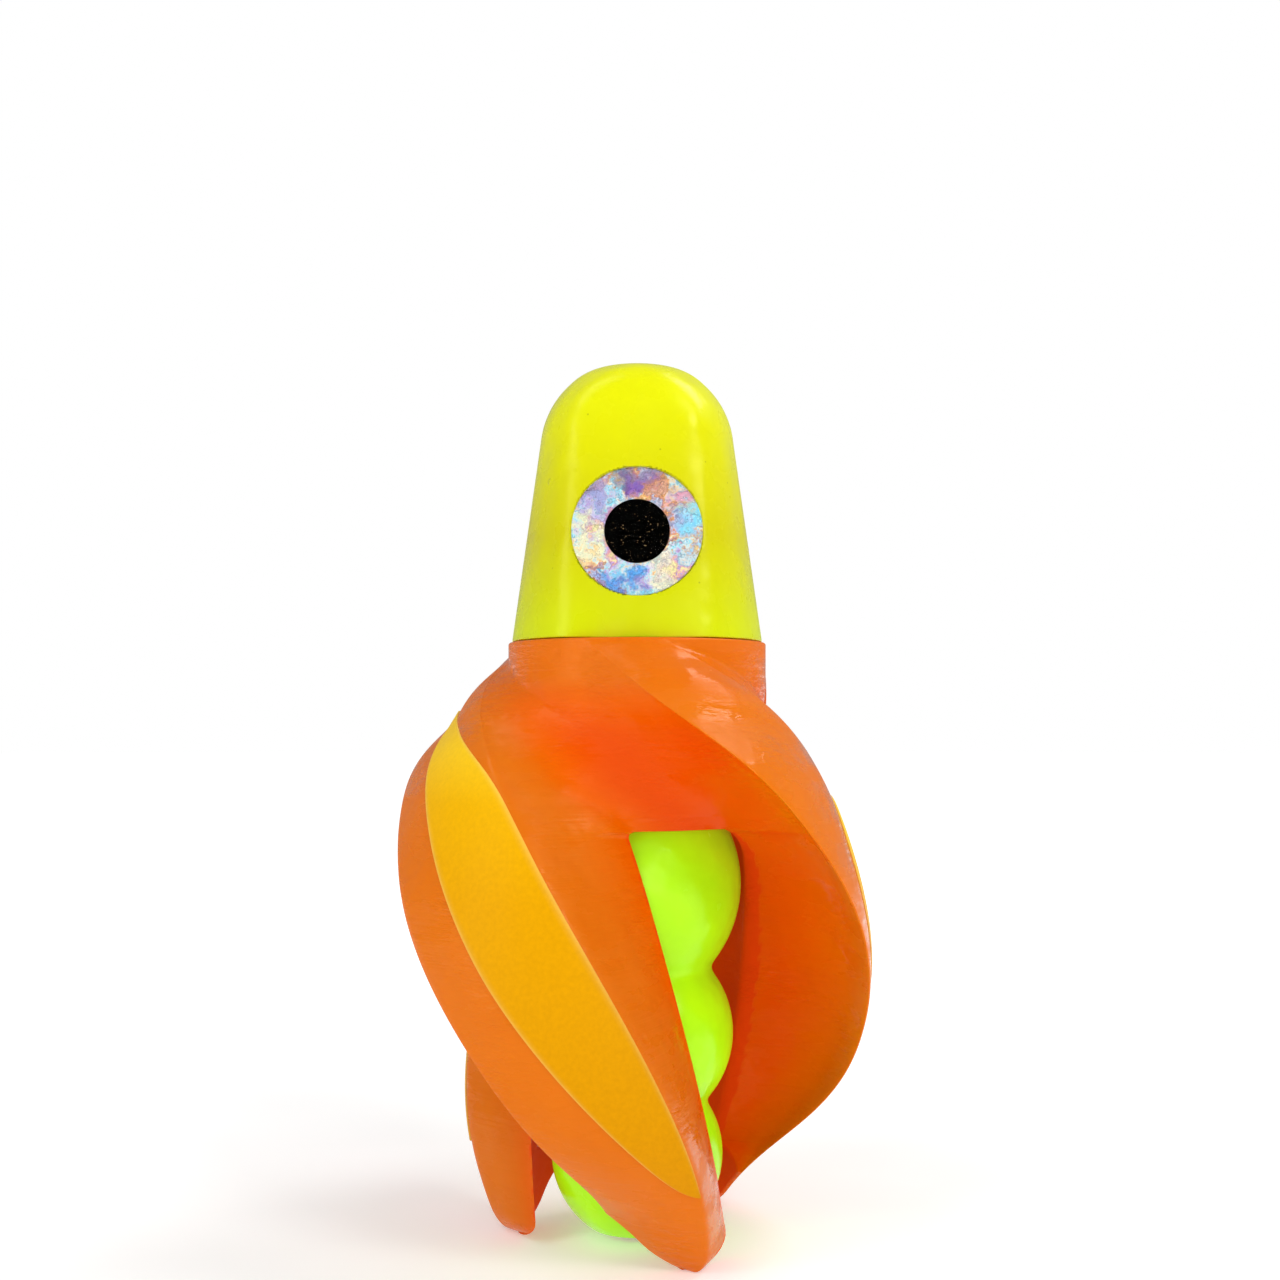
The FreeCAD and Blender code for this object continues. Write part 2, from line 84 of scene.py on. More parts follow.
def placeCamera():
    # a level lens on -Y; its frame is slid, not turned, so upright edges stay upright
    data = bpy.data.cameras.new("camera")
    data.lens = view["lens"]
    data.sensor_width = 36
    data.clip_start = 0.005
    data.shift_x, data.shift_y = view["slide"], view["rise"]
    camera = bpy.data.objects.new("camera", data)
    camera.location = (0, -view["distance"] * mm, view["height"] * mm)
    camera.rotation_euler = (math.pi / 2, 0, 0)
    bpy.context.scene.collection.objects.link(camera)
    bpy.context.scene.camera = camera


studio = {
    "floorRadius": 2500.0,
    "floorGlow": (0.25, 0.75),  # under the object and far away
    "ambient": 0.38,
    "softboxes": {
        # place, size, watts, colour
        "keyLight": ((300, -330, 360), (170, 170), 0.85, (1, 0.99, 0.97)),
        "sideLight": ((-330, -230, 160), (150, 300), 0.42, (1, 1, 1)),
        "topLight": ((225, 40, 390), (170, 170), 0.62, (1, 1, 1)),
        "frontLight": ((130, -430, 90), (200, 200), 0.3, (1, 1, 1)),
        "noseLight": ((-190, -120, 420), (200, 200), 0.3, (1, 1, 1)),
    },
}


def aimLight(light, target):
    # turns a light so that its -Z axis points at the target
    away = np.array(light.location) - np.array(target)
    flat = math.hypot(away[0], away[1])
    light.rotation_euler = (math.atan2(flat, away[2]), 0, math.atan2(away[1], away[0]) + math.pi / 2)


def placeStudio():
    # soft boxes, and a sky that is white to look at but lends only part of that white as light
    world = bpy.data.worlds.new("studio")
    bpy.context.scene.world = world
    world.use_nodes = True
    nodes, links = world.node_tree.nodes, world.node_tree.links
    nodes.clear()
    output = nodes.new("ShaderNodeOutputWorld")
    mix = nodes.new("ShaderNodeMixShader")
    path = nodes.new("ShaderNodeLightPath")
    seen, cast = nodes.new("ShaderNodeBackground"), nodes.new("ShaderNodeBackground")
    seen.inputs["Color"].default_value = (1, 1, 1, 1)
    cast.inputs["Color"].default_value = (1, 1, 1, 1)
    cast.inputs["Strength"].default_value = studio["ambient"]
    links.new(path.outputs["Is Camera Ray"], mix.inputs[0])
    links.new(cast.outputs[0], mix.inputs[1])
    links.new(seen.outputs[0], mix.inputs[2])
    links.new(mix.outputs[0], output.inputs["Surface"])
    for name, (place, size, watts, colour) in studio["softboxes"].items():
        data = bpy.data.lights.new(name, "AREA")
        data.shape = "RECTANGLE"
        data.size, data.size_y = size[0] * mm, size[1] * mm
        data.energy = watts
        data.color = colour
        light = bpy.data.objects.new(name, data)
        light.location = [c * mm for c in place]
        aimLight(light, (0, 0, 45 * mm))
        bpy.context.scene.collection.objects.link(light)
    bpy.context.scene.view_settings.view_transform = "Standard"


def placeFloor():
    # a flat round floor, just under the lowest point
    lowest = cadBounds[0][2] / mm - 0.05
    out = np.geomspace(1, studio["floorRadius"], 16)
    around = np.linspace(0, 2 * math.pi, 97)[:-1]
    x, y = out[:, None] * np.cos(around), out[:, None] * np.sin(around)
    floor = gridPiece("floor", np.stack([x, y, lowest + 0 * x], -1), wrapColumns=True)
    floor.data.materials.append(floorPaper())


# meshes from grids


def quadIndices(rows, columns, wrapRows=False, wrapColumns=False, start=0):
    # corner numbers of every cell of a grid, in order so that faces turn the same way
    i = np.arange(rows if wrapRows else rows - 1)[:, None]
    j = np.arange(columns if wrapColumns else columns - 1)[None, :]
    i2, j2 = (i + 1) % rows, (j + 1) % columns
    cells = np.stack([i * columns + j, i * columns + j2, i2 * columns + j2, i2 * columns + j], -1)
    return start + cells.reshape(-1, 4)


def meshObject(name, points, quads, attributes=None, smoothAngle=38):
    # points in millimetres, quads as corner numbers; doubles are merged and faces turned outwards
    mesh = bpy.data.meshes.new(name)
    mesh.from_pydata((np.asarray(points) * mm).tolist(), [], quads.tolist())
    for key, values in (attributes or {}).items():
        layer = mesh.attributes.new(key, "FLOAT", "POINT")
        layer.data.foreach_set("value", np.asarray(values, dtype=np.float32).ravel())
    work = bmesh.new()
    work.from_mesh(mesh)
    bmesh.ops.remove_doubles(work, verts=work.verts, dist=2e-7)
    bmesh.ops.dissolve_degenerate(work, dist=1e-8, edges=work.edges)
    bmesh.ops.recalc_face_normals(work, faces=work.faces)
    work.to_mesh(mesh)
    work.free()
    mesh.polygons.foreach_set("use_smooth", np.ones(len(mesh.polygons), dtype=bool))
    mesh.set_sharp_from_angle(angle=math.radians(smoothAngle))
    mesh.update()
    piece = bpy.data.objects.new(name, mesh)
    bpy.context.scene.collection.objects.link(piece)
    return piece


def gridPiece(name, grid, wrapRows=False, wrapColumns=False, attributes=None):
    # an array of rows x columns x 3 made into one skin, closed round where a side is wrapped
    rows, columns = grid.shape[:2]
    quads = quadIndices(rows, columns, wrapRows, wrapColumns)
    return meshObject(name, grid.reshape(-1, 3), quads, attributes)


def turnedGrid(profile, columns):
    # a closed profile of (radius, height) carried round the axis
    around = np.linspace(0, 2 * math.pi, columns + 1)[:-1]
    radius, height = profile[:, :1], profile[:, 1:]
    return np.stack([radius * np.cos(around), radius * np.sin(around), height + 0 * around], -1)


def arcThrough(first, middle, last, count):
    # points along the circle through three points, without the last one
    a, b, c = complex(*first), complex(*middle), complex(*last)
    w = (c - a) / (b - a)
    centre = a + (b - a) * (w - abs(w) ** 2) / (2j * w.imag)
    turn1 = np.angle((b - centre) / (a - centre))
    turn2 = np.angle((c - centre) / (b - centre))
    angles = np.linspace(0, turn1 + turn2, count + 1)[:-1]
    run = centre + (a - centre) * np.exp(1j * angles)
    return np.stack([run.real, run.imag], -1)


def straight(first, last, count):
    # evenly spaced points of a line, without the last one
    share = np.linspace(0, 1, count + 1)[:-1, None]
    return np.array(first) * (1 - share) + np.array(last) * share


def blurred(rings, spread):
    # every row, a closed ring, is averaged along itself by a bell curve whose width is in columns
    share = np.fft.fftfreq(rings.shape[1])
    return np.fft.ifft(np.fft.fft(rings, axis=1) * np.exp(-2 * (math.pi * share * spread) ** 2), axis=1)


def softened(loop, passes):
    # each pass moves every point of a closed loop to the mean of itself, twice, and its neighbours
    for _ in range(passes):
        loop = 0.5 * loop + 0.25 * (np.roll(loop, 1, 0) + np.roll(loop, -1, 0))
    return loop


def naturalSpline(knots, values):
    # cubic run through the values with no bend at its two ends, as a function of an array
    x, y = np.asarray(knots, float), np.asarray(values, float)
    gap = np.diff(x)
    count = len(x)
    system, right = np.eye(count), np.zeros(count)
    inner = np.arange(1, count - 1)
    system[inner, inner - 1] = gap[:-1]
    system[inner, inner] = 2 * (gap[:-1] + gap[1:])
    system[inner, inner + 1] = gap[1:]
    right[1:-1] = 6 * (np.diff(y)[1:] / gap[1:] - np.diff(y)[:-1] / gap[:-1])
    bend = np.linalg.solve(system, right)

    def run(at):
        # the cubic of the stretch between two knots that each height falls in
        k = np.clip(np.searchsorted(x, at) - 1, 0, count - 2)
        left, span = at - x[k], gap[k]
        rise = (y[k + 1] - y[k]) / span - span * (2 * bend[k] + bend[k + 1]) / 6
        return y[k] + left * (rise + left * (bend[k] / 2 + left * (bend[k + 1] - bend[k]) / (6 * span)))

    return run


def dress(piece, body, slotName, material, *replaced):
    # gives a piece its material and body, and hides the CAD node that it stands for
    # slotName is not used
    piece.data.materials.append(material)
    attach(piece, body)
    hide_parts(*replaced)
    return piece


# materials


class Finish:
    # a Principled material and short ways to add to it
    def __init__(self, name, colour, **sockets):
        # socket names are written with an underline for each space
        self.material = bpy.data.materials.new(name)
        self.material.use_nodes = True
        self.nodes = self.material.node_tree.nodes
        self.links = self.material.node_tree.links
        self.shader = self.nodes["Principled BSDF"]
        self.shader.inputs["Base Color"].default_value = (*colour, 1)
        for socket, value in sockets.items():
            self.shader.inputs[socket.replace("_", " ")].default_value = value
        self.place = self.nodes.new("ShaderNodeTexCoord").outputs["Object"]

    def add(self, kind, links=None, **values):
        # a node with its inputs set, or linked where the value is another node's output
        node = self.nodes.new("ShaderNode" + kind)
        for key, value in values.items():
            setattr(node, key, value)
        for key, value in (links or {}).items():
            if isinstance(value, bpy.types.NodeSocket):
                self.links.new(value, node.inputs[key])
            else:
                node.inputs[key].default_value = value
        return node

    def stretched(self, x, y, z):
        # place, with each axis multiplied by its own number
        return self.add("Mapping", {"Vector": self.place, "Scale": (x, y, z)}).outputs[0]

    def noise(self, scale, detail=3.0, rough=0.55, vector=None):
        # cloudy value from 0 to 1; scale is in clouds to the metre
        return self.add("TexNoise", {"Vector": vector or self.place, "Scale": scale, "Detail": detail,
                                     "Roughness": rough}).outputs["Fac"]

    def cells(self, scale):
        # distance to the nearest of many scattered points
        return self.add("TexVoronoi", {"Vector": self.place, "Scale": scale}).outputs["Distance"]

    def ramp(self, value, *stops):
        # stops are (position, grey or colour)
        node = self.add("ValToRGB", {"Fac": value})
        elements = node.color_ramp.elements
        while len(elements) < len(stops):
            elements.new(0.5)
        for element, (position, colour) in zip(elements, stops):
            element.position = position
            element.color = (*colour, 1) if isinstance(colour, tuple) else (colour, colour, colour, 1)
        return node.outputs["Color"]

    def blend(self, share, first, second, how="MIX"):
        # first where share is 0, second over it where share is 1
        node = self.add("MixRGB", {"Fac": share, "Color1": padded(first), "Color2": padded(second)},
                        blend_type=how)
        return node.outputs["Color"]

    def sums(self, how, first, second):
        # one step of arithmetic on two values
        return self.add("Math", {0: first, 1: second}, operation=how).outputs[0]

    def attribute(self, name):
        # a value that the mesh carries at its points
        return self.add("Attribute", attribute_name=name).outputs["Fac"]

    def colour(self, output):
        # output feeds the base colour
        self.links.new(output, self.shader.inputs["Base Color"])

    def roughness(self, output):
        # output feeds the roughness
        self.links.new(output, self.shader.inputs["Roughness"])

    def bumps(self, *layers):
        # each layer is (height output, depth in millimetres); they are stacked
        normal = None
        for height, depth in layers:
            node = self.add("Bump", {"Height": height, "Distance": depth * mm, "Strength": 1.0})
            if normal:
                self.links.new(normal, node.inputs["Normal"])
            normal = node.outputs["Normal"]
        self.links.new(normal, self.shader.inputs["Normal"])


def padded(colour):
    # three numbers of a colour and a full fourth one; anything else passes through
    return (*colour, 1) if isinstance(colour, tuple) and len(colour) == 3 else colour


def floorPaper():
    # paper that grows brighter away from the object, so that it meets the white behind it
    finish = Finish("floorPaper", (0.92, 0.92, 0.92), Roughness=0.9, Emission_Strength=1.0)
    far = finish.add("TexGradient", {"Vector": finish.stretched(3.2, 3.2, 3.2)}, gradient_type="SPHERICAL")
    near, away = studio["floorGlow"]
    glow = finish.ramp(far.outputs["Fac"], (0.0, away), (0.85, near))
    finish.links.new(glow, finish.shader.inputs["Emission Color"])
    finish.colour(finish.ramp(finish.noise(40.0), (0.3, 0.88), (0.7, 0.93)))
    return finish.material


def orangeResin():
    # cast resin with painted shade and painted light: the tone attribute paints it darker and redder in the
    # hollow, scoops and valleys and paler on the ridges, and an emission paints a glow into those shaded
    # parts;
    # with layer lines, scuffs, dents and bands of wet-looking gloss
    finish = Finish("orangeResin", (0.72, 0.15, 0.012), Roughness=0.36, IOR=1.32,
                    Specular_IOR_Level=0.45, Specular_Tint=(1.0, 0.62, 0.32, 1.0), Emission_Strength=0.3,
                    Subsurface_Weight=0.12, Subsurface_Scale=1.2 * mm)
    finish.shader.inputs["Subsurface Radius"].default_value = (1.0, 0.3, 0.05)
    depth = finish.attribute("tone")
    # painted shade: where the tone is low, in the hollow, scoops and valleys, the colour is darker and
    # redder
    body = finish.ramp(depth, (0.0, (0.60, 0.035, 0.0)), (0.35, (0.64, 0.07, 0.0)),
                       (0.75, (0.68, 0.115, 0.0)), (0.92, (0.71, 0.165, 0.006)),
                       (1.0, (0.70, 0.16, 0.005)))
    # painted light: an emission, strongest where the tone is low, paints a glow into the shaded hollow and
    # scoops
    glow = finish.ramp(depth, (0.0, (0.52, 0.034, 0.0)), (0.3, (0.46, 0.032, 0.0)),
                       (0.65, (0.34, 0.034, 0.0)), (0.85, (0.0, 0.0, 0.0)))
    finish.links.new(glow, finish.shader.inputs["Emission Color"])
    cloud = finish.ramp(finish.noise(160.0, 4), (0.3, (0.92, 0.86, 0.7)), (0.7, (1.0, 1.0, 1.0)))
    finish.colour(finish.blend(0.5, body, cloud, "MULTIPLY"))
    lines = finish.noise(1.0, 2, vector=finish.stretched(60, 60, 2600))
    scuffs = finish.noise(1.0, 3, vector=finish.stretched(420, 420, 1500))
    bands = finish.noise(1.0, 4, vector=finish.stretched(150, 150, 420))
    gloss = finish.ramp(bands, (0.42, 0.14), (0.58, 0.42))
    finish.roughness(finish.blend(finish.ramp(depth, (0.0, 0.0), (0.3, 1.0)), (0.85, 0.85, 0.85), gloss))
    patches = finish.ramp(finish.noise(110.0, 2), (0.5, 0.0), (0.6, 1.0))
    dents = finish.ramp(finish.cells(230.0), (0.03, 0.0), (0.12, 1.0))
    finish.bumps((finish.noise(120.0, 3), 0.55), (lines, 0.04),
                 (finish.blend(patches, (0.5, 0.5, 0.5), scuffs), 0.22),
                 (dents, 0.04), (finish.noise(1500.0, 2), 0.012))
    return finish.material


def yellowResin():
    # cast resin: greener near the base, yellower by the eye, palest at the nose, with specks and bubbles
    finish = Finish("yellowResin", (0.66, 0.66, 0.0), Roughness=0.3, IOR=1.45,
                    Specular_IOR_Level=0.42, Specular_Tint=(1.0, 1.0, 0.4, 1.0),
                    Subsurface_Weight=0.2, Subsurface_Scale=1.2 * mm)
    finish.shader.inputs["Subsurface Radius"].default_value = (0.8, 1.0, 0.05)
    parts = finish.add("SeparateXYZ", {0: finish.place})
    up = finish.sums("MULTIPLY", parts.outputs[2], 1 / (headForm["top"] * mm))
    tone = finish.ramp(up, (0.68, (0.60, 0.70, 0.0)), (0.80, (0.57, 0.54, 0.0)), (0.95, (0.71, 0.73, 0.0)))
    shade = finish.ramp(finish.noise(120.0, 4), (0.32, (0.92, 0.92, 0.9)), (0.7, (1.0, 1.0, 1.0)))
    cloud = finish.blend(0.5, tone, shade, "MULTIPLY")
    speck = finish.ramp(finish.cells(420.0), (0.02, (0.35, 0.36, 0.02)), (0.05, (1.0, 1.0, 1.0)))
    finish.colour(finish.blend(0.6, cloud, speck, "MULTIPLY"))
    finish.roughness(finish.ramp(finish.noise(260.0, 4), (0.3, 0.22), (0.75, 0.36)))
    bubbles = finish.ramp(finish.cells(170.0), (0.035, 1.0), (0.06, 0.0))
    finish.bumps((finish.noise(150.0, 2), 0.5), (bubbles, 0.08), (finish.noise(700.0, 3), 0.02))
    return finish.material


def greenResin():
    # cast resin; a faint emission over the whole body is painted light that brightens the lobes where the
    # rotor shades them
    finish = Finish("greenResin", (0.46, 0.94, 0.0), Roughness=0.3, IOR=1.45,
                    Specular_IOR_Level=0.45, Specular_Tint=(1.0, 1.0, 0.5, 1.0),
                    Emission_Color=(0.36, 0.70, 0.02, 1.0), Emission_Strength=0.18,
                    Subsurface_Weight=0.2, Subsurface_Scale=1.2 * mm)
    finish.shader.inputs["Subsurface Radius"].default_value = (0.6, 1.0, 0.05)
    finish.colour(finish.ramp(finish.noise(140.0, 4), (0.32, (0.35, 0.80, 0.0)), (0.7, (0.42, 0.90, 0.001))))
    finish.roughness(finish.ramp(finish.noise(260.0, 4), (0.3, 0.16), (0.75, 0.3)))
    finish.bumps((finish.noise(170.0, 2), 0.45), (finish.noise(800.0, 3), 0.02))
    return finish.material


def goldFilm():
    # a self-adhesive film: fine grain, paler towards the top of the vane, a painted highlight along its rim
    finish = Finish("goldFilm", (0.84, 0.38, 0.0), Roughness=0.42, IOR=1.45, Specular_IOR_Level=0.12,
                    Specular_Tint=(1.0, 0.8, 0.3, 1.0))
    along = finish.ramp(finish.attribute("along"), (0.0, (0.66, 0.27, 0.0)), (0.6, (0.75, 0.35, 0.0)),
                        (0.8, (0.82, 0.43, 0.0)), (0.92, (0.93, 0.58, 0.012)))
    grain = finish.ramp(finish.noise(2400.0, 2), (0.3, (0.9, 0.88, 0.8)), (0.7, (1.0, 1.0, 1.0)))
    coloured = finish.blend(0.7, along, grain, "MULTIPLY")
    # painted highlight: a pale colour where the edge attribute is high, along the film's rim
    finish.colour(finish.blend(finish.attribute("edge"), coloured, (0.95, 0.66, 0.2)))
    finish.bumps((finish.noise(180.0, 2), 0.15), (finish.noise(2400.0, 2), 0.006))
    return finish.material


foilPatches = (
    # across, up (from the eye's centre, in millimetres), size, colour
    (0.2, 5.2, 2.4, (0.22, 0.13, 0.34)),
    (-1.2, 4.4, 1.2, (0.10, 0.05, 0.22)),
    (0.4, 3.9, 1.6, (0.20, 0.08, 0.50)),
    (1.7, 3.5, 1.9, (0.78, 0.34, 0.10)),
    (4.9, 0.7, 2.4, (0.16, 0.78, 1.0)),
    (-1.9, -4.6, 2.5, (0.01, 0.25, 0.80)),
    (-4.7, -0.8, 2.4, (0.93, 0.86, 0.50)),
    (2.4, -4.3, 2.3, (0.96, 0.90, 0.60)),
    (-4.2, 3.0, 2.0, (0.34, 0.30, 0.66)),
    (4.3, 3.2, 1.4, (0.80, 0.30, 0.42)),
)


def holographicFoil():
    # crinkled rainbow foil: silver with patches of colour whose outlines are frayed by the crinkles
    finish = Finish("holographicFoil", (0.8, 0.8, 0.85), Roughness=0.3, Metallic=0.3)
    swirl = finish.add("TexNoise", {"Vector": finish.place, "Scale": 420.0, "Detail": 4.0,
                                    "Roughness": 0.65}).outputs["Color"]
    centred = finish.add("VectorMath", {0: swirl, 1: (0.5, 0.5, 0.5)}, operation="SUBTRACT").outputs[0]
    small = finish.add("VectorMath", {0: centred, 1: (0.009, 0.004, 0.009)}, operation="MULTIPLY").outputs[0]
    warped = finish.add("VectorMath", {0: finish.place, 1: small}, operation="ADD").outputs[0]
    slanted = finish.add("Mapping", {"Vector": warped, "Scale": (500, 500, 1500),
                                     "Rotation": (0, 0.6, 0)}).outputs[0]
    fine = finish.noise(1.0, 4, 0.7, vector=slanted)
    colour = finish.ramp(finish.noise(230.0, 3, 0.6, vector=warped),
                         (0.32, (0.42, 0.40, 0.66)), (0.38, (0.62, 0.66, 0.80)),
                         (0.42, (0.70, 0.22, 0.16)), (0.45, (0.90, 0.60, 0.16)), (0.49, (0.82, 0.82, 0.78)),
                         (0.54, (0.25, 0.75, 0.88)), (0.57, (0.72, 0.76, 0.78)), (0.62, (0.50, 0.42, 0.78)),
                         (0.66, (0.80, 0.35, 0.42)), (0.71, (0.88, 0.80, 0.36)))
    for across, up, radius, tint in foilPatches:
        apart = finish.add("VectorMath", {0: warped, 1: (across * mm, 0, (headForm["eyeHeight"] + up) * mm)},
                           operation="SUBTRACT").outputs[0]
        flat = finish.add("VectorMath", {0: apart, 1: (1, 0, 1)}, operation="MULTIPLY").outputs[0]
        away = finish.add("VectorMath", {0: flat}, operation="LENGTH").outputs["Value"]
        share = finish.ramp(finish.sums("DIVIDE", away, radius * mm), (0.4, 0.8), (1.0, 0.0))
        colour = finish.blend(share, colour, tint)
    glint = finish.ramp(fine, (0.36, (0.5, 0.46, 0.6)), (0.5, (0.95, 0.95, 0.97)), (0.62, (1.0, 1.0, 1.0)))
    creases = finish.ramp(finish.noise(190.0, 3, 0.6, vector=warped), (0.47, (1.0, 1.0, 1.0)),
                          (0.495, (0.45, 0.40, 0.52)), (0.52, (1.0, 1.0, 1.0)))
    colour = finish.blend(0.6, colour, glint, "MULTIPLY")
    finish.colour(finish.blend(0.55, colour, creases, "MULTIPLY"))
    finish.roughness(finish.ramp(fine, (0.3, 0.18), (0.75, 0.45)))
    finish.bumps((finish.noise(300.0, 3, 0.6, vector=warped), 0.5), (fine, 0.09))
    return finish.material


def pupilPrint():
    # black print with fine metal glitter under it
    finish = Finish("pupilPrint", (0.004, 0.003, 0.003), Roughness=0.4, Specular_IOR_Level=0.0)
    glitter = finish.ramp(finish.cells(3600.0), (0.0, (0.60, 0.42, 0.2)), (0.2, (0.001, 0.001, 0.001)))
    spread = finish.ramp(finish.noise(900.0, 3), (0.46, 0.0), (0.56, 1.0))
    finish.colour(finish.blend(spread, (0.001, 0.001, 0.001), glitter))
    finish.bumps((finish.noise(900.0, 3), 0.01))
    return finish.material


def clearCasting():
    # clear soft resin, nearly without refraction, so that the foil shows evenly to its rim
    finish = Finish("clearCasting", (1.0, 1.0, 1.0), Roughness=0.02, IOR=1.05, Transmission_Weight=1.0)
    finish.roughness(finish.ramp(finish.noise(400.0, 2), (0.3, 0.01), (0.75, 0.04)))
    finish.bumps((finish.noise(300.0, 2), 0.02))
    return finish.material


def turnedMetal(name, colour, dark, roughness):
    # fine rings from turning, with a faint stain
    finish = Finish(name, colour, Metallic=1.0, Roughness=roughness)
    finish.colour(finish.ramp(finish.noise(500.0, 4), (0.3, dark), (0.65, colour)))
    finish.roughness(finish.ramp(finish.noise(900.0, 4), (0.3, roughness * 0.7), (0.7, roughness * 1.4)))
    finish.bumps((finish.noise(1.0, 2, vector=finish.stretched(80, 80, 9000)), 0.01))
    return finish.material


def whiteNylon():
    # milky plastic with a faint grain
    finish = Finish("whiteNylon", (0.82, 0.81, 0.76), Roughness=0.5, Subsurface_Weight=0.2,
                    Subsurface_Scale=0.5 * mm)
    finish.colour(finish.ramp(finish.noise(600.0, 3), (0.3, (0.76, 0.75, 0.69)), (0.7, (0.84, 0.83, 0.79))))
    finish.bumps((finish.noise(3000.0, 2), 0.01))
    return finish.material


# rotor: one skin over hub and vanes

rotorForm = {
    "collarTop": heights("rotor")[1],
    "collarRadius": 12.4,
    "collarBottom": 52.5,
    "collarEdge": 0.22,
    "ceiling": 39.4,
    "waistRadius": 9.8,
    "waistBulge": 0.35,
    "hollowRadius": 10.35,
    "mouthRadius": 11.5,
    "tipRound": 2.2,
    "tipMiddle": 293.0,
    "levels": (0, 5.7, 10.5, 20.0, 33.0, 41.0, 47.0, 52.6),
    "leadRadii": (7.0, 11.4, 16.6, 21.8, 23.7, 22.8, 20.6, 15.2),
    "trailRadii": (13.4, 16.0, 17.5, 18.9, 19.4, 18.5, 17.0, 14.6),
    "ridgeAtCollar": 12.1,
    "crown": 1.0,
    "leadStart": 263.5,
    "leadTwist": 103.0,
    "collarTwist": 34.0,
    "crestAngle": 48.2,
    "crestNarrowing": 14.0,
    "crestCollarNarrowing": 16.0,
    "trailFlankAngle": 22.2,
    "trailFlankSpread": 4.6,
    "leadFlankAngle": 32.0,
    "leadHollow": 1.7,
    "trailHollow": 0.4,
    "valleyFillet": 3.6,
    "ridgeBlur": 1.6,  # columns
    "valleyBlur": 11.0,
    "lipRounding": 110,  # passes
    "trailCorner": (0.75, 0.8),  # width and height of a window's two upper corners
    "leadCorner": (2.5, 8.0),
    "groove": (40.6, 0.07, 0.14),  # height, depth and width
    "tipWall": 0.3,  # least wall outside the hollow
    "filletRise": 6.0,  # how far above the ceiling the valley's fillet and its blur are full
    "blurRise": 6.5,
    "filletEnd": (50.0, 6.0, 0.7),  # where the fillet shrinks, over what height and by what share
    "neck": (53.0, 4.0, 0.5),  # the same for the blur that makes the collar round
    "boreStep": 1.75,  # from the bush's flange in to the bore, and the flange's thickness
    "bushFlange": 0.8,
    # painted shade: these tones set how dark the rotor is painted in its hollows
    "paintedShadeTones": (0.2, 1.5, 0.8, 0.6),  # inmost tone and its power on the lead flank, trail edge, valley
    "columns": {"lead": 30, "crest": 46, "trail": 28, "floor": 26},
}
vaneCount = 3
ridgeLead = naturalSpline(rotorForm["levels"] + (rotorForm["collarTop"],),
                          rotorForm["leadRadii"] + (rotorForm["ridgeAtCollar"],))
ridgeTrail = naturalSpline(rotorForm["levels"] + (rotorForm["collarTop"],),
                           rotorForm["trailRadii"] + (rotorForm["ridgeAtCollar"],))


def leadAngle(z):
    # degrees: an even twist along the vane that quickens towards the collar
    share = z / rotorForm["collarTop"]
    return rotorForm["leadStart"] - rotorForm["leadTwist"] * share - rotorForm["collarTwist"] * share**8


def trailAngle(z):
    # degrees: the lead angle and the crest's width, which narrows towards the tip and the collar
    share = z / rotorForm["collarTop"]
    narrowed = rotorForm["crestNarrowing"] * (1 - share) ** 4 + rotorForm["crestCollarNarrowing"] * share**8
    return leadAngle(z) + rotorForm["crestAngle"] - narrowed


def coreRadius(z):
    # the hub between the vanes: a waist at the ceiling that swells into the round collar
    f = rotorForm
    share = np.clip((z - f["ceiling"]) / (f["collarBottom"] - f["ceiling"]), 0, 1)
    swell = f["waistBulge"] * 4 * share * (1 - share)
    return f["waistRadius"] + (f["collarRadius"] - f["waistRadius"]) * share + swell


def mouthRadius(z):
    # the hollow's wall, which flares at its mouth along a quarter ellipse
    f = rotorForm
    depth = np.clip(z / f["tipRound"], 0, 1)
    return f["hollowRadius"] + (f["mouthRadius"] - f["hollowRadius"]) * (1 - np.sqrt(1 - (1 - depth) ** 2))


def smoothStep(x):
    # three x squared minus two x cubed, level at 0 and at 1
    x = np.clip(x, 0, 1)
    return x * x * (3 - 2 * x)


def flankRun(ridge, wall, stop, hollow, count):
    # points from a ridge inwards along the line to the wall point, ending at radius stop, bowed
    run = wall - ridge
    a = np.abs(run) ** 2
    b = (ridge * np.conj(run)).real
    c = np.abs(ridge) ** 2 - stop**2
    inside = np.maximum(b * b - a * c, 0)
    end = np.maximum((-b - np.sqrt(inside)) / a, 0.0)[:, None]
    along = np.linspace(0, 1, count)[None, :] * end
    bow = -1j * run[:, None] * hollow / rotorForm["hollowRadius"] * 4 * along * (end - along)
    return ridge[:, None] + run[:, None] * along + bow


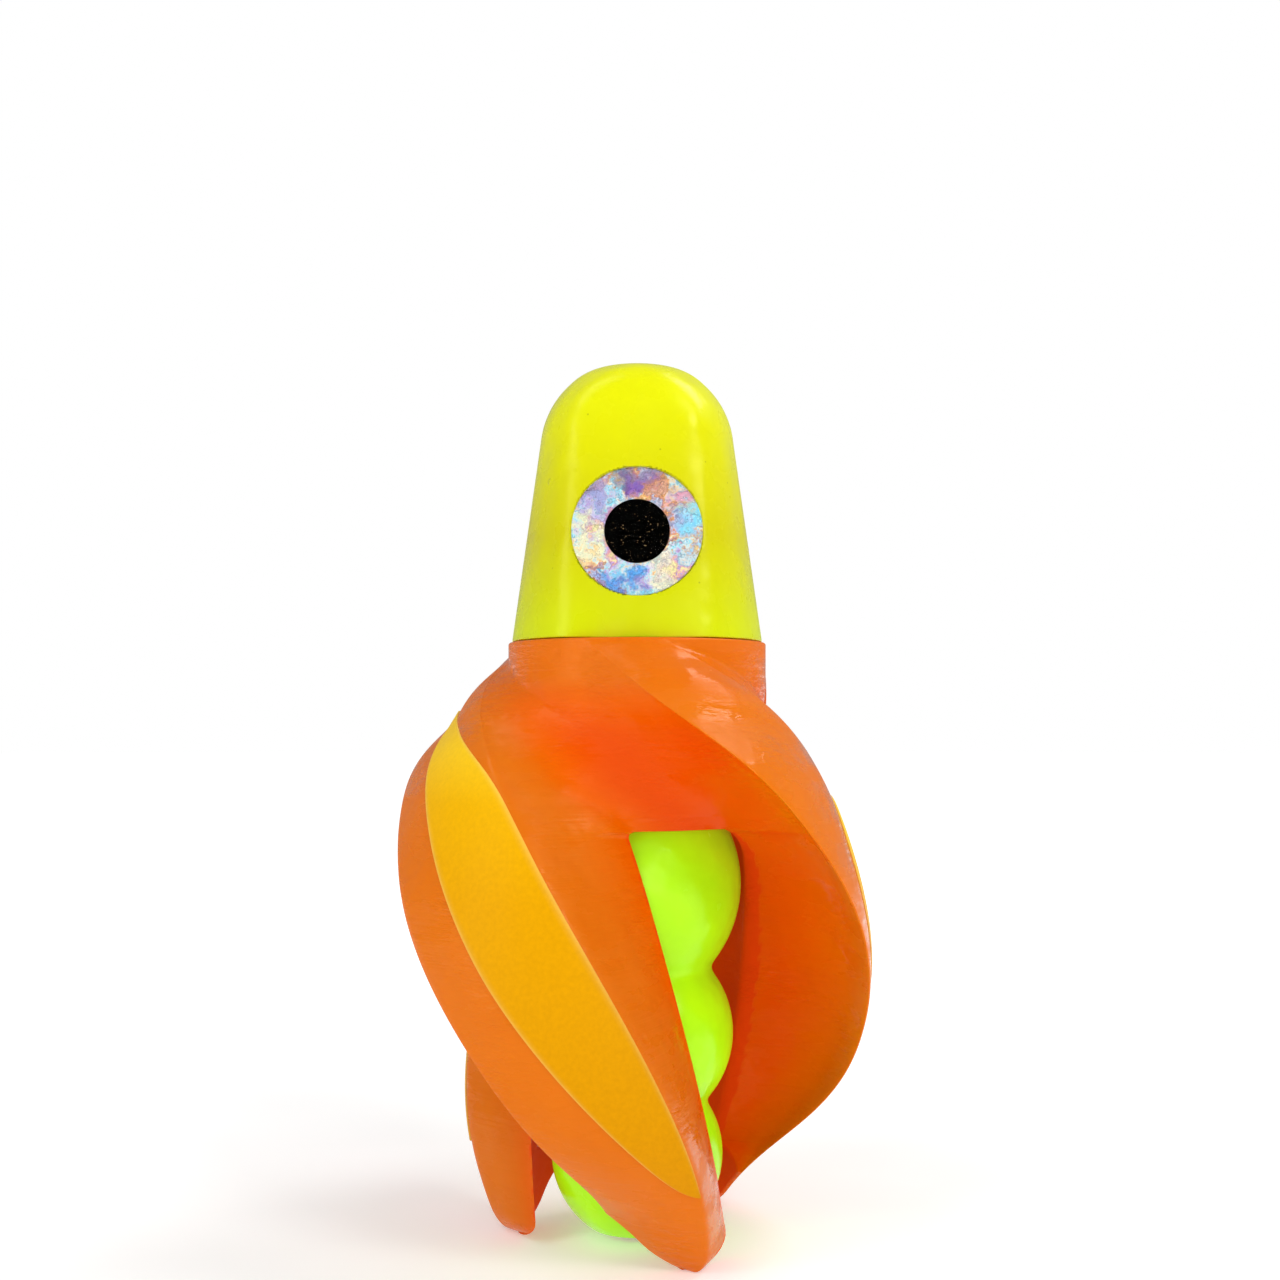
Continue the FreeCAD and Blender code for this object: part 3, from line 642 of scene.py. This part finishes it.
def vaneRing(z):
    # plan outline at each height, as complex numbers: for each vane its leading flank from the
    # hub outwards, crest, trailing flank, then the valley floor up to the next vane
    f = rotorForm
    counts = f["columns"]
    z = np.asarray(z, float)
    core, wall = coreRadius(z), mouthRadius(z)
    lead, trail = ridgeLead(z), ridgeTrail(z)
    first, last = leadAngle(z), trailAngle(z)
    # near the tip the leading ridge runs out through the hollow's wall
    least = wall + f["tipWall"]
    share = np.clip((least - lead) / np.maximum(trail - lead, 0.1), 0, 0.95)
    start = np.where(lead < least, share, 0.0)
    across = start[:, None] + (1 - start)[:, None] * np.linspace(0, 1, counts["crest"])[None, :]
    near = np.clip(np.abs(z - 52.6) / (f["collarTop"] - 52.6), 0, 1)
    crown = f["crown"] * (1 - near**2) ** 2
    crestRadius = (lead[:, None] + (trail - lead)[:, None] * across
                   + crown[:, None] * 4 * across * (1 - across))
    crestAngle = first[:, None] + (last - first)[:, None] * across
    # the hub swallows what lies under it
    crestRadius = np.maximum(crestRadius, core[:, None])
    crest = crestRadius * np.exp(1j * np.radians(crestAngle))
    share = z / f["collarTop"]
    above = smoothStep((z - f["ceiling"]) / f["filletRise"])
    fillet = (f["hollowRadius"] - f["waistRadius"]) * (1 - above) + f["valleyFillet"] * above
    shrinkFrom, rise, lost = f["filletEnd"]
    fillet = fillet * (1 - lost * smoothStep((z - shrinkFrom) / rise))
    stop = np.where(z < f["ceiling"], wall, core + fillet)
    leadTurn = f["leadFlankAngle"] * (1 - share**5) * (1 - start)
    offMiddle = np.minimum(np.abs(z / 20.0 - 1), 1)
    trailTurn = f["trailFlankAngle"] + f["trailFlankSpread"] * offMiddle**2

    def flank(edge, turn, hollow, count):
        # from a ridge inwards to the hollow's wall, aimed a set number of degrees round from it
        wallRadius = np.minimum(f["hollowRadius"], np.abs(edge) * 0.8)
        wallPoint = wallRadius * np.exp(1j * (np.angle(edge) + np.radians(turn)))
        return flankRun(edge, wallPoint, np.minimum(stop, np.abs(edge) - 0.02), hollow, count)

    leadFlank = flank(crest[:, 0], leadTurn, f["leadHollow"], counts["lead"])[:, ::-1]
    trailFlank = flank(crest[:, -1], trailTurn, f["trailHollow"], counts["trail"])
    vane = np.concatenate([leadFlank[:, :-1], crest, trailFlank[:, 1:]], 1)
    vane = roundedTip(vane, z)
    # the valley floor: angle runs evenly, radius dips to the hub's between the two flanks
    pitch = 2 * math.pi / vaneCount
    fromEdge, toEdge = vane[:, -1], vane[:, 0] * np.exp(1j * pitch)
    sweep = np.mod(np.angle(toEdge) - np.angle(fromEdge), 2 * math.pi)
    v = np.linspace(0, 1, counts["floor"] + 2)[None, 1:-1]
    near, far = np.clip(1 - 2 * v, 0, 1) ** 3, np.clip(2 * v - 1, 0, 1) ** 3
    low = np.minimum(core, np.minimum(np.abs(fromEdge), np.abs(toEdge)))[:, None]
    radius = low + (np.abs(fromEdge)[:, None] - low) * near + (np.abs(toEdge)[:, None] - low) * far
    floor = radius * np.exp(1j * (np.angle(fromEdge)[:, None] + sweep[:, None] * v))
    third = np.concatenate([vane, floor], 1)
    ring = np.concatenate([third * np.exp(1j * pitch * k) for k in range(vaneCount)], 1)
    # ridges stay fairly crisp, valleys are blended into the hub above the ceiling
    valley = np.concatenate([np.linspace(1, 0, counts["lead"])[:-1], np.zeros(counts["crest"]),
                             np.linspace(0, 1, counts["trail"])[1:], np.ones(counts["floor"])])
    valley = np.tile(smoothStep((valley - 0.12) / 0.7), vaneCount)[None, :]
    above = smoothStep((z - f["ceiling"]) / f["blurRise"])[:, None]
    neckFrom, neckRise, most = f["neck"]
    neck = most * smoothStep((z - neckFrom) / neckRise)[:, None]
    share = np.maximum(valley * above, neck)
    ring = blurred(ring, f["ridgeBlur"]) * (1 - share) + blurred(ring, f["valleyBlur"]) * share
    # a faint groove runs above each window
    level, depth, width = f["groove"]
    groove = depth * np.exp(-(((z - level) / width) ** 2))[:, None]
    inValley = np.tile(np.arange(third.shape[1]) >= vane.shape[1], vaneCount)[None, :]
    radius = np.abs(ring)
    least = np.where(z > f["ceiling"], core, 0)[:, None]
    radius = np.maximum(radius, least) - groove * inValley
    return ring / np.abs(ring) * radius * np.exp(1j * np.tile(cornerTurn(z), (1, vaneCount)))


def cornerTurn(z):
    # the windows' rounded upper corners: near both sides of a window the ring is turned towards its
    # middle, by a quarter ellipse below the ceiling that fades out above it
    f = rotorForm
    counts = f["columns"]
    vane = counts["lead"] + counts["crest"] + counts["trail"] - 2
    column = np.arange(vane + counts["floor"])[None, :]
    below = np.clip(f["ceiling"] - z, 0, None)[:, None]
    fade = 1 - smoothStep((z - f["ceiling"]) / 5)[:, None]
    turn = 0
    for (width, height), middle, spread, side in (
            (f["trailCorner"], vane - 1, 8, 1), (f["leadCorner"], 0, 14, -1)):
        off = np.minimum(np.abs(column - middle), vane + counts["floor"] - np.abs(column - middle))
        share = 1 - np.clip(below / height, 0, 1)
        curve = width * (1 - np.sqrt(1 - share**2)) * fade / f["hollowRadius"]
        turn = turn + side * curve * np.exp(-((off / spread) ** 2))
    return turn


def roundedTip(vane, z):
    # below tipRound the section shrinks towards the middle of the tip, as an ellipse does
    f = rotorForm
    depth = np.clip(z / f["tipRound"], 0, 1)
    full = np.sqrt(1 - (1 - depth) ** 2)[:, None]
    middle = math.radians(f["tipMiddle"])
    angle = np.mod(np.angle(vane) - middle + math.pi, 2 * math.pi) - math.pi
    radius = np.abs(vane)
    outer = np.maximum(radius - f["hollowRadius"], 0)
    radius = np.where(outer > 0, f["hollowRadius"] + outer * (0.7 + 0.3 * full), radius)
    turned = radius * np.exp(1j * (middle + angle * (0.3 + 0.7 * full)))
    return np.where(z[:, None] < f["tipRound"], turned, vane)


def standing(plan, z):
    # plan points as complex numbers, one row for each height, made into x, y, z
    return np.stack([plan.real, plan.imag, np.broadcast_to(np.asarray(z, float)[:, None], plan.shape)], -1)


def buildRotor():
    # one skin: each vane's outside and hollow below the ceiling, the hub above it, then the bores
    f = rotorForm
    counts = f["columns"]
    vaneColumns = counts["lead"] + counts["crest"] + counts["trail"] - 2
    third = vaneColumns + counts["floor"]
    tipRows = f["tipRound"] * (1 - np.cos(np.linspace(0, math.pi / 2, 8)))
    cornerRows = f["ceiling"] - 1.3 * np.cos(np.linspace(0, math.pi / 2, 10))
    lowRows = np.concatenate([tipRows, np.linspace(f["tipRound"], f["ceiling"] - 1.3, 66)[1:-1], cornerRows])
    lowRing = vaneRing(lowRows)
    wall = mouthRadius(lowRows)
    points, quads, paintedShadeTones = [], [], []
    # painted shade: how light each column is painted, low on the inner side of the leading flank and in the
    # valley, where shade falls
    inmost, power, edgeTone, dip = f["paintedShadeTones"]
    paintedShadeRow = np.concatenate([
        np.linspace(inmost, 1, counts["lead"])[:-1] ** power, np.ones(counts["crest"]),
        np.linspace(1, edgeTone, counts["trail"])[1:],
        edgeTone - dip * np.sin(np.linspace(0, math.pi, counts["floor"])) ** 0.6])
    paintedShadeRow = np.tile(paintedShadeRow, vaneCount)
    paintedShadeRow = blurred(paintedShadeRow[None, :], 5.0)[0].real

    def addGrid(grid, tone, wrapColumns=False):
        # joins a grid of points and its tone, the painted shade, to the skin
        start = sum(len(part) for part in points)
        paintedShadeTones.append(np.broadcast_to(tone, grid.shape[:2]).ravel())
        quads.append(quadIndices(*grid.shape[:2], wrapColumns=wrapColumns, start=start))
        points.append(grid.reshape(-1, 3))

    column = np.arange(vaneColumns)
    lip = np.exp(-((column / 13.0) ** 2)), np.exp(-((column / 26.0) ** 2))
    lip = np.concatenate([lip[0], lip[1][:0:-1]])[None, :]
    lip = lip * smoothStep((f["ceiling"] - 0.2 - lowRows) / 2.5)[:, None]
    ends = []
    for k in range(vaneCount):
        outer = lowRing[:, k * third:k * third + vaneColumns]
        radius = np.maximum(np.abs(outer), wall[:, None])
        radius[:, 0] = radius[:, -1] = wall
        outer = outer / np.abs(outer) * radius
        begin = np.angle(outer[:, :1])
        sweep = np.mod(np.angle(outer[:, -1:]) - begin, 2 * math.pi)
        inner = wall[:, None] * np.exp(1j * (begin + sweep * np.linspace(0, 1, vaneColumns)[None, :]))
        loop = np.concatenate([outer, inner[:, :0:-1]], 1)
        for _ in range(f["lipRounding"]):
            loop = loop + lip * (0.25 * (np.roll(loop, 1, 1) + np.roll(loop, -1, 1)) - 0.5 * loop)
        outer = loop[:, :vaneColumns]
        inner = np.concatenate([loop[:, :1], loop[:, :vaneColumns - 1:-1]], 1)
        addGrid(standing(outer, lowRows), paintedShadeRow[:vaneColumns])
        # the hollow's inner wall gets tone 0, the darkest painted shade and the strongest painted glow
        addGrid(standing(inner, lowRows)[:, ::-1], 0.0)
        addGrid(np.stack([standing(inner[:1], lowRows[:1])[0], standing(outer[:1], lowRows[:1])[0]]), 0.8)
        lowRing[-1, k * third:k * third + vaneColumns] = outer[-1]
        ends.append(inner[-1])
    ceilingLoop = []
    for k in range(vaneCount):
        ceilingLoop += [ends[k], lowRing[-1, k * third + vaneColumns:(k + 1) * third]]
    edge = f["collarEdge"]
    highRows = np.concatenate([np.linspace(f["ceiling"], 41.4, 15)[:-1],
                               np.linspace(41.4, f["collarTop"] - edge, 34)])
    highRing = vaneRing(highRows)
    highRing[0] = lowRing[-1]
    turn = np.linspace(0, math.pi / 2, 6)[1:]
    edgeRing = highRing[-1] / np.abs(highRing[-1])
    inset = np.abs(highRing[-1])[None, :] - edge * (1 - np.cos(turn))[:, None]
    allRows = np.concatenate([highRows, f["collarTop"] - edge + edge * np.sin(turn)])
    # the painted shade fades out towards the collar, where the tone rises to 0.85
    light = smoothStep((allRows - 47) / 7)[:, None]
    addGrid(standing(np.concatenate([highRing, edgeRing[None, :] * inset]), allRows),
            paintedShadeRow[None, :] * (1 - light) + 0.85 * light, wrapColumns=True)
    # the inside: ceiling, lower recess, bore, upper recess and the collar's flat top
    ceilingLoop = np.concatenate(ceilingLoop)
    topLoop = edgeRing * inset[-1]
    recess, bore = reach("upper_bush"), reach("upper_bush") - f["boreStep"]
    lowFloor = heights("lower_bush")[0] + f["bushFlange"]
    highFloor = heights("upper_bush")[1] - f["bushFlange"]
    stations = [(None, f["ceiling"], 0)] + [(recess, f["ceiling"], 0), (recess, lowFloor, 0.05),
                (bore, lowFloor, 0.1), (bore, highFloor, 0.9), (recess, highFloor, 0.95),
                (recess, f["collarTop"], 1.0), (None, f["collarTop"], 1)]
    startAngle, endAngle = np.unwrap(np.angle(ceilingLoop)), np.unwrap(np.angle(topLoop))
    endAngle += 2 * math.pi * np.round((startAngle[0] - endAngle[0]) / (2 * math.pi))
    chain, levels = [], []
    for radius, z, share in stations:
        if radius is None:
            chain.append(ceilingLoop if share == 0 else topLoop)
        else:
            chain.append(radius * np.exp(1j * (startAngle * (1 - share) + endAngle * share)))
        levels.append(z)
    # the inside is painted dark, at tone 0.2
    addGrid(standing(np.array(chain), levels), 0.2, wrapColumns=True)
    rotor = meshObject("lureRotor", np.concatenate(points), np.concatenate(quads),
                       {"tone": np.concatenate(paintedShadeTones)})
    return dress(rotor, "rotor", "orange_resin", orangeResin(), "rotor")


# stripes: a leaf of film on each crest

stripeForm = {
    "share": 0.61,
    "narrowShare": 0.85,
    "least": 0.03,
    "shoulder": 9.0,
    "lift": 0.03,
    "thickness": 0.16,
    "rows": 150,
    "across": 26,
}


def stripeEdges(z, bottom, top, narrow):
    # how far across the crest the two edges stand: a leaf with one edge on the ridge
    f = stripeForm
    middle, half = (bottom + top) / 2, (top - bottom) / 2
    low = (z - middle) / half
    if narrow:
        return 1 - f["narrowShare"] * np.maximum(np.sqrt(np.maximum(1 - low**2, 0)), f["least"]), 1 + 0 * z
    left = 1 - f["share"] * np.maximum(np.sqrt(1 - np.minimum(low, 0) ** 2), f["least"])
    rise = np.clip(z - (top - f["shoulder"]), 0, None) / f["shoulder"]
    return left, 1 - (f["share"] - f["least"]) * rise**2.6


def buildStripe(index, film):
    # the crest between the two edges, lifted outwards and closed with a thin rounded rim
    f = stripeForm
    bottom, top = heights(f"vane_stripe_{index + 1}")
    z = (bottom + top) / 2 - (top - bottom) / 2 * np.cos(np.linspace(0, math.pi, f["rows"]))
    left, right = stripeEdges(z, bottom, top, index == 1)
    # the crest's own columns are read at even steps between the two edges
    counts = rotorForm["columns"]
    crest = vaneRing(z)[:, counts["lead"] - 1:counts["lead"] - 1 + counts["crest"]]
    across = left[:, None] + (right - left)[:, None] * np.linspace(0, 1, f["across"])[None, :]
    column = np.clip(across * (counts["crest"] - 1), 0, counts["crest"] - 1.001)
    whole = column.astype(int)
    part = column - whole
    row = np.arange(len(z))[:, None]
    base = crest[row, whole] * (1 - part) + crest[row, whole + 1] * part
    outward = base / np.abs(base)
    rim = np.minimum(np.linspace(0, 1, f["across"]), np.linspace(1, 0, f["across"])) * f["across"]
    rounding = np.sqrt(np.clip(rim / 1.5, 0, 1))[None, :]
    face = base + outward * (f["lift"] + f["thickness"] * (0.35 + 0.65 * rounding))
    under = base + outward * f["lift"] * 0.2
    loop = np.concatenate([face, under[:, ::-1]], 1) * np.exp(2j * math.pi / vaneCount * index)
    grid = standing(loop, z)
    ends = [np.repeat(grid[side].mean(0)[None, :], grid.shape[1], 0) for side in (0, -1)]
    grid = np.concatenate([ends[0][None], grid, ends[1][None]])
    along = np.concatenate([[0], (z - bottom) / (top - bottom), [1]])
    # edge marks the film's rim, where a highlight is painted
    edge = np.concatenate([1 - rounding[0] * 0.999, np.ones(f["across"])])
    attributes = {"along": np.repeat(along, grid.shape[1]), "edge": np.tile(edge, len(along)) * 0.3}
    stripe = gridPiece(f"vaneStripe{index + 1}", grid, wrapColumns=True, attributes=attributes)
    return dress(stripe, "rotor", "gold_stripe", film, f"vane_stripe_{index + 1}")


# head

headForm = {
    "bottom": heights("head")[0],
    "baseRadius": reach("head"),
    "shoulder": (9.3, 76.2),
    "crown": (6.6, 81.6),
    "top": heights("head")[1],
    "bulge": 0.5,
    "crownBulge": 0.55,
    "baseEdge": 0.14,
    "eyeHeight": 66.8,
    "cheekDistance": 8.95,
    "cheekLean": 8.4,
    "cheekBlend": 1.3,
    "seatRadius": 6.08,
    "seatDepth": 0.45,
    "cell": 0.14,
    "cheekRadius": 10.65,  # mean radius under the eye, for even columns
    "leastDepth": 3.2,
    "topRounding": 0.12,
}
sleeveForm = {"wall": 0.6, "flange": 0.4}


def headProfile():
    # half outline from the base's outer edge up to the nose, then down the bore and back
    f = headForm
    flange = reach("nose_sleeve")
    sleeveRadius = reach("centre_tube") + sleeveForm["wall"]
    tube = reach("centre_tube")
    sleeveTop, sleeveBottom = heights("nose_sleeve")[1], heights("nose_sleeve")[0]
    seat = sleeveTop - sleeveForm["flange"]
    lip = f["topRounding"]
    edge = f["baseEdge"]
    base = (f["baseRadius"], f["bottom"])
    (sr, sh), (cr, ch) = f["shoulder"], f["crown"]
    shoulderArc = arcThrough(f["shoulder"], ((sr + cr) / 2 + f["bulge"], (sh + ch) / 2 + f["bulge"] / 2),
                             f["crown"], 22)
    crownArc = arcThrough(f["crown"], ((cr + flange) / 2 + f["crownBulge"] / 2,
                                       (ch + f["top"]) / 2 + f["crownBulge"] / 2), (flange, f["top"]), 16)
    band = f["eyeHeight"] + np.array([-1, 1]) * (f["seatRadius"] + 0.5)

    def side(z):
        # the straight tapered side, from the base to the shoulder
        return base[0] + (sr - base[0]) * (z - base[1]) / (sh - base[1])

    lowZ = np.linspace(f["bottom"] + edge, band[0], 10)[:-1]
    bandZ = np.arange(band[0], band[1], f["cell"])
    highZ = np.linspace(band[1], sh, 10)[:-1]
    sideZ = np.concatenate([lowZ, bandZ, highZ])
    sides = np.stack([side(sideZ), sideZ], -1)
    corner = arcThrough((base[0] - edge, base[1]), (base[0] - edge * 0.29, base[1] + edge * 0.29),
                        (side(base[1] + edge), base[1] + edge), 5)
    inner = np.concatenate([
        arcThrough((flange, f["top"]), (flange - lip / 4, f["top"] - lip / 2), (flange, f["top"] - lip), 3),
        straight((flange, f["top"] - lip), (flange, seat), 3),
        straight((flange, seat), (sleeveRadius, seat), 2),
        straight((sleeveRadius, seat), (sleeveRadius, sleeveBottom), 3),
        straight((sleeveRadius, sleeveBottom), (tube, sleeveBottom), 2),
        straight((tube, sleeveBottom), (tube, base[1]), 6),
        straight((tube, base[1]), (base[0] - edge, base[1]), 8)])
    outer = np.concatenate([corner, sides, shoulderArc, crownArc])
    return outer, inner


def buildHead():
    # the outline turned round the axis, cut flat and pocketed where the two eyes sit
    f = headForm
    outer, inner = headProfile()
    # the columns stand closer together over the two cheeks
    reachAcross = f["seatRadius"] + 0.55
    cheek = np.arcsin(np.arange(-reachAcross, reachAcross, f["cell"]) / f["cheekRadius"])
    side = np.linspace(cheek[-1], math.pi - cheek[-1], 40)[1:-1]
    angle = np.concatenate([cheek, side, math.pi + cheek, math.pi + side]) - math.pi / 2
    lean = math.radians(f["cheekLean"])

    def depthAt(x, z):
        # distance of the skin from the axis plane: the round side or the leaning cheek, blended
        byHeight = np.interp(z, outer[:, 1], outer[:, 0])
        round_ = np.sqrt(np.maximum(byHeight**2 - x**2, 1e-9))
        flat = f["cheekDistance"] - (z - f["eyeHeight"]) * math.tan(lean)
        flat = np.maximum(flat, f["leastDepth"])
        k = f["cheekBlend"]
        h = np.clip(0.5 + 0.5 * (flat - round_) / k, 0, 1)
        return flat * (1 - h) + round_ * h - k * h * (1 - h)

    radius, z = outer[:, :1], outer[:, 1:] + 0 * angle[None, :]
    x, y = radius * np.cos(angle), radius * np.sin(angle)
    facing = np.sign(y)
    onCheek = np.abs(y) > 1e-6
    depth = np.where(onCheek, depthAt(x, z), np.abs(y))
    # only where the cheek really cuts the round side does it replace it
    depth = np.minimum(depth, np.abs(y))
    y = facing * depth
    # the eye's seat: points near its rim move on to the rim, points inside drop to its floor
    rise = (z - f["eyeHeight"]) / math.cos(lean)
    away = np.hypot(x, rise)
    rim = f["seatRadius"]
    inside = away < rim
    close = np.abs(away - rim) < f["cell"] * 0.62
    target = np.where(inside, rim - 0.012, rim + 0.012)
    scale = np.where(close, target / np.maximum(away, 1e-6), 1.0)
    x2, rise2 = x * scale, rise * scale
    z2 = f["eyeHeight"] + rise2 * math.cos(lean)
    outsideY = facing * depthAt(x2, z2)
    floorY = facing * (f["cheekDistance"] - rise2 * math.sin(lean) - f["seatDepth"] * math.cos(lean))
    floorZ = z2 - f["seatDepth"] * math.sin(lean)
    band = (np.abs(rise) < rim + 1) & (depth > 5)
    use = band & (inside | close)
    x = np.where(use, x2, x)
    y = np.where(use, np.where(inside, floorY, outsideY), y)
    z = np.where(use, np.where(inside, floorZ, z2), z)
    skin = np.stack([x, y, z], -1)
    bore = np.stack([inner[:, :1] * np.cos(angle), inner[:, :1] * np.sin(angle),
                     inner[:, 1:] + 0 * angle[None, :]], -1)
    head = gridPiece("lureHead", np.concatenate([skin, bore]), wrapRows=True, wrapColumns=True)
    return dress(head, "core", "yellow_resin", yellowResin(), "head")


# body with three lobes

bodyForm = {
    "topRadius": 8.7,
    "lobes": ((10.0, 33.4), (9.25, 19.9), (8.25, 7.6)),  # radius and height
    "necks": ((6.9, 25.7), (6.55, 12.9)),
    "bottomRadius": 4.6,
    "passes": 9,
    "columns": 150,
}


def buildBody():
    # three arcs for the lobes, meeting at softened necks, turned round the axis
    f = bodyForm
    bottom, top = heights("ribbed_body")
    tube, sleeve = reach("centre_tube"), reach("centre_tube") + sleeveForm["wall"]
    seat = heights("tail_sleeve")[1]
    stops = [(f["topRadius"], top), *f["necks"], (f["bottomRadius"], bottom)]
    lobes = [arcThrough(stops[k], lobe, stops[k + 1], 48) for k, lobe in enumerate(f["lobes"])]
    profile = np.concatenate([
        straight((tube, top), stops[0], 12), *lobes,
        straight(stops[-1], (sleeve, bottom), 5), straight((sleeve, bottom), (sleeve, seat), 5),
        straight((sleeve, seat), (tube, seat), 2), straight((tube, seat), (tube, top), 40)])
    nearNeck = sum(np.exp(-(((profile[:, 1:] - height) / 1.6) ** 2)) for _, height in f["necks"])
    nearNeck = np.where(profile[:, :1] > 5, np.minimum(nearNeck, 1), 0)
    profile = profile * (1 - nearNeck) + softened(profile, f["passes"]) * nearNeck
    body = gridPiece("lobedBody", turnedGrid(profile, f["columns"]), wrapRows=True, wrapColumns=True)
    return dress(body, "core", "green_resin", greenResin(), "ribbed_body")


# eyes

eyeForm = {
    "radius": 6.0,
    "foilThickness": 0.15,
    "pupilRadius": 3.0,
    "pupilThickness": 0.06,
    "domeEdge": 0.35,
    "domeHeight": 0.95,
    "crinkle": 0.03,
}


def onCheek(grid, side, height):
    # a piece drawn about +Z is stood on the cheek's seat, facing out: -1 is the front, 1 the back
    lean = math.radians(headForm["cheekLean"])
    outwards = np.array([0, side * math.cos(lean), math.sin(lean)])
    upwards = np.array([0, -side * math.sin(lean), math.cos(lean)])
    across = np.cross(upwards, outwards)
    centre = np.array([0, side * headForm["cheekDistance"], headForm["eyeHeight"]])
    start = centre + outwards * (height - headForm["seatDepth"])
    return start + grid[..., :1] * across + grid[..., 1:2] * upwards + grid[..., 2:] * outwards


def discProfile(radius, thickness, edge, rings):
    # a flat disc with a softly rounded upper edge, from the centre of its foot to the centre of its top
    turn = np.linspace(0, math.pi / 2, 5)
    rim = np.stack([radius - edge + edge * np.cos(turn), thickness - edge + edge * np.sin(turn)], -1)
    foot = straight((0.0005, 0), (radius, 0), 6)
    top = straight((radius - edge, thickness), (0.0005, thickness), rings)
    return np.concatenate([foot, [(radius, 0)], rim[:-1], top, [(0.0005, thickness)]])


def buildEye(side, label, foilFinish, pupilFinish, domeFinish):
    # foil rippled by crossed waves, a disc for the pupil, and a spherical cap over both
    f = eyeForm
    foil = turnedGrid(discProfile(f["radius"], f["foilThickness"], 0.05, 40), 120)
    lift = np.clip((foil[..., 2] - 0.1) / 0.05, 0, 1)
    ripple = (np.sin(foil[..., 0] * 2.3 + 1.7 * np.sin(foil[..., 1] * 1.9))
              * np.sin(foil[..., 1] * 2.9 + 1.3 * np.sin(foil[..., 0] * 2.1)))
    foil[..., 2] -= lift * f["crinkle"] * (1 + ripple)
    pupil = turnedGrid(discProfile(f["pupilRadius"], f["pupilThickness"], 0.03, 12), 96)
    # the dome: a spherical cap on a short upright edge, hollowed where the pupil stands
    ball = (f["radius"] ** 2 + f["domeHeight"] ** 2) / (2 * f["domeHeight"])
    out = np.linspace(f["radius"] - 0.12, 0.0005, 40)
    cap = np.stack([out, f["domeEdge"] + f["domeHeight"] - ball + np.sqrt(ball**2 - out**2)], -1)
    edge = arcThrough((f["radius"], f["domeEdge"] - 0.12), (f["radius"] - 0.03, f["domeEdge"] - 0.03),
                      tuple(cap[0]), 5)
    room = f["pupilRadius"] + 0.02
    foot = np.concatenate([
        [(0.0005, f["pupilThickness"] + 0.01), (room, f["pupilThickness"] + 0.01)],
        straight((room, 0.012), (f["radius"] - 0.01, 0.012), 6), [(f["radius"] - 0.01, 0.012)]])
    dome = turnedGrid(np.concatenate([foot, edge, cap]), 120)
    names = {"foil": (foil, "holographic_foil", foilFinish, 0.0),
             "pupil": (pupil, "black_print", pupilFinish, f["foilThickness"] - 0.03),
             "dome": (dome, "clear_dome", domeFinish, f["foilThickness"])}
    for part, (grid, slotName, finish, height) in names.items():
        piece = gridPiece(f"eye{part.capitalize()}{label.capitalize()}", onCheek(grid, side, height),
                          wrapColumns=True)
        dress(piece, "core", slotName, finish, f"eye_{part}_{label}")


# end sleeves


def buildSleeve(node, downwards, brass):
    # the flange lies at the outer end; its edge is rolled and its bore slightly belled
    low, high = heights(node)
    tube, flange = reach("centre_tube"), reach(node)
    wall, thick = sleeveForm["wall"], sleeveForm["flange"]
    far = high - low
    profile = np.concatenate([
        straight((tube, 0.0), (flange, 0.0), 10), straight((flange, 0.0), (flange, thick), 6),
        straight((flange, thick), (tube + wall, thick), 5),
        straight((tube + wall, thick), (tube + wall, far), 12),
        straight((tube + wall, far), (tube, far), 5), straight((tube, far), (tube, 0.0), 20)])
    profile = softened(profile, 2)
    profile[:, 0] = np.clip(profile[:, 0], tube, flange)
    profile[:, 1] = low + profile[:, 1] if downwards else high - profile[:, 1]
    piece = gridPiece(node.replace("_", " ").title().replace(" ", "") + "Ring", turnedGrid(profile, 72),
                      wrapRows=True, wrapColumns=True)
    return dress(piece, "core", "brass", brass, node)


# whole


def main():
    # every piece in turn; the tube, bushes and washers keep their CAD meshes and get a finish
    placeCamera()
    placeStudio()
    placeFloor()
    print("stage: camera, studio and floor")
    buildRotor()
    film = goldFilm()
    for index in range(vaneCount):
        buildStripe(index, film)
    print("stage: rotor and stripes")
    buildHead()
    buildBody()
    foilFinish, pupilFinish, domeFinish = holographicFoil(), pupilPrint(), clearCasting()
    buildEye(-1, "front", foilFinish, pupilFinish, domeFinish)
    buildEye(1, "back", foilFinish, pupilFinish, domeFinish)
    print("stage: head, eyes and body")
    brass = turnedMetal("brass", (0.78, 0.56, 0.24), (0.62, 0.42, 0.16), 0.28)
    steel = turnedMetal("steel", (0.62, 0.62, 0.64), (0.5, 0.5, 0.52), 0.3)
    nylon = whiteNylon()
    buildSleeve("nose_sleeve", False, brass)
    buildSleeve("tail_sleeve", True, brass)
    carried = {"centre_tube": brass, "upper_bush": brass, "lower_bush": brass,
               "upper_steel_washer": steel, "lower_steel_washer": steel,
               "upper_nylon_washer": nylon, "lower_nylon_washer": nylon}
    for node, finish in carried.items():
        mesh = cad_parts[node].data
        mesh.materials.clear()
        mesh.materials.append(finish)
    print("stage: tube, sleeves, bushes and washers")


main()
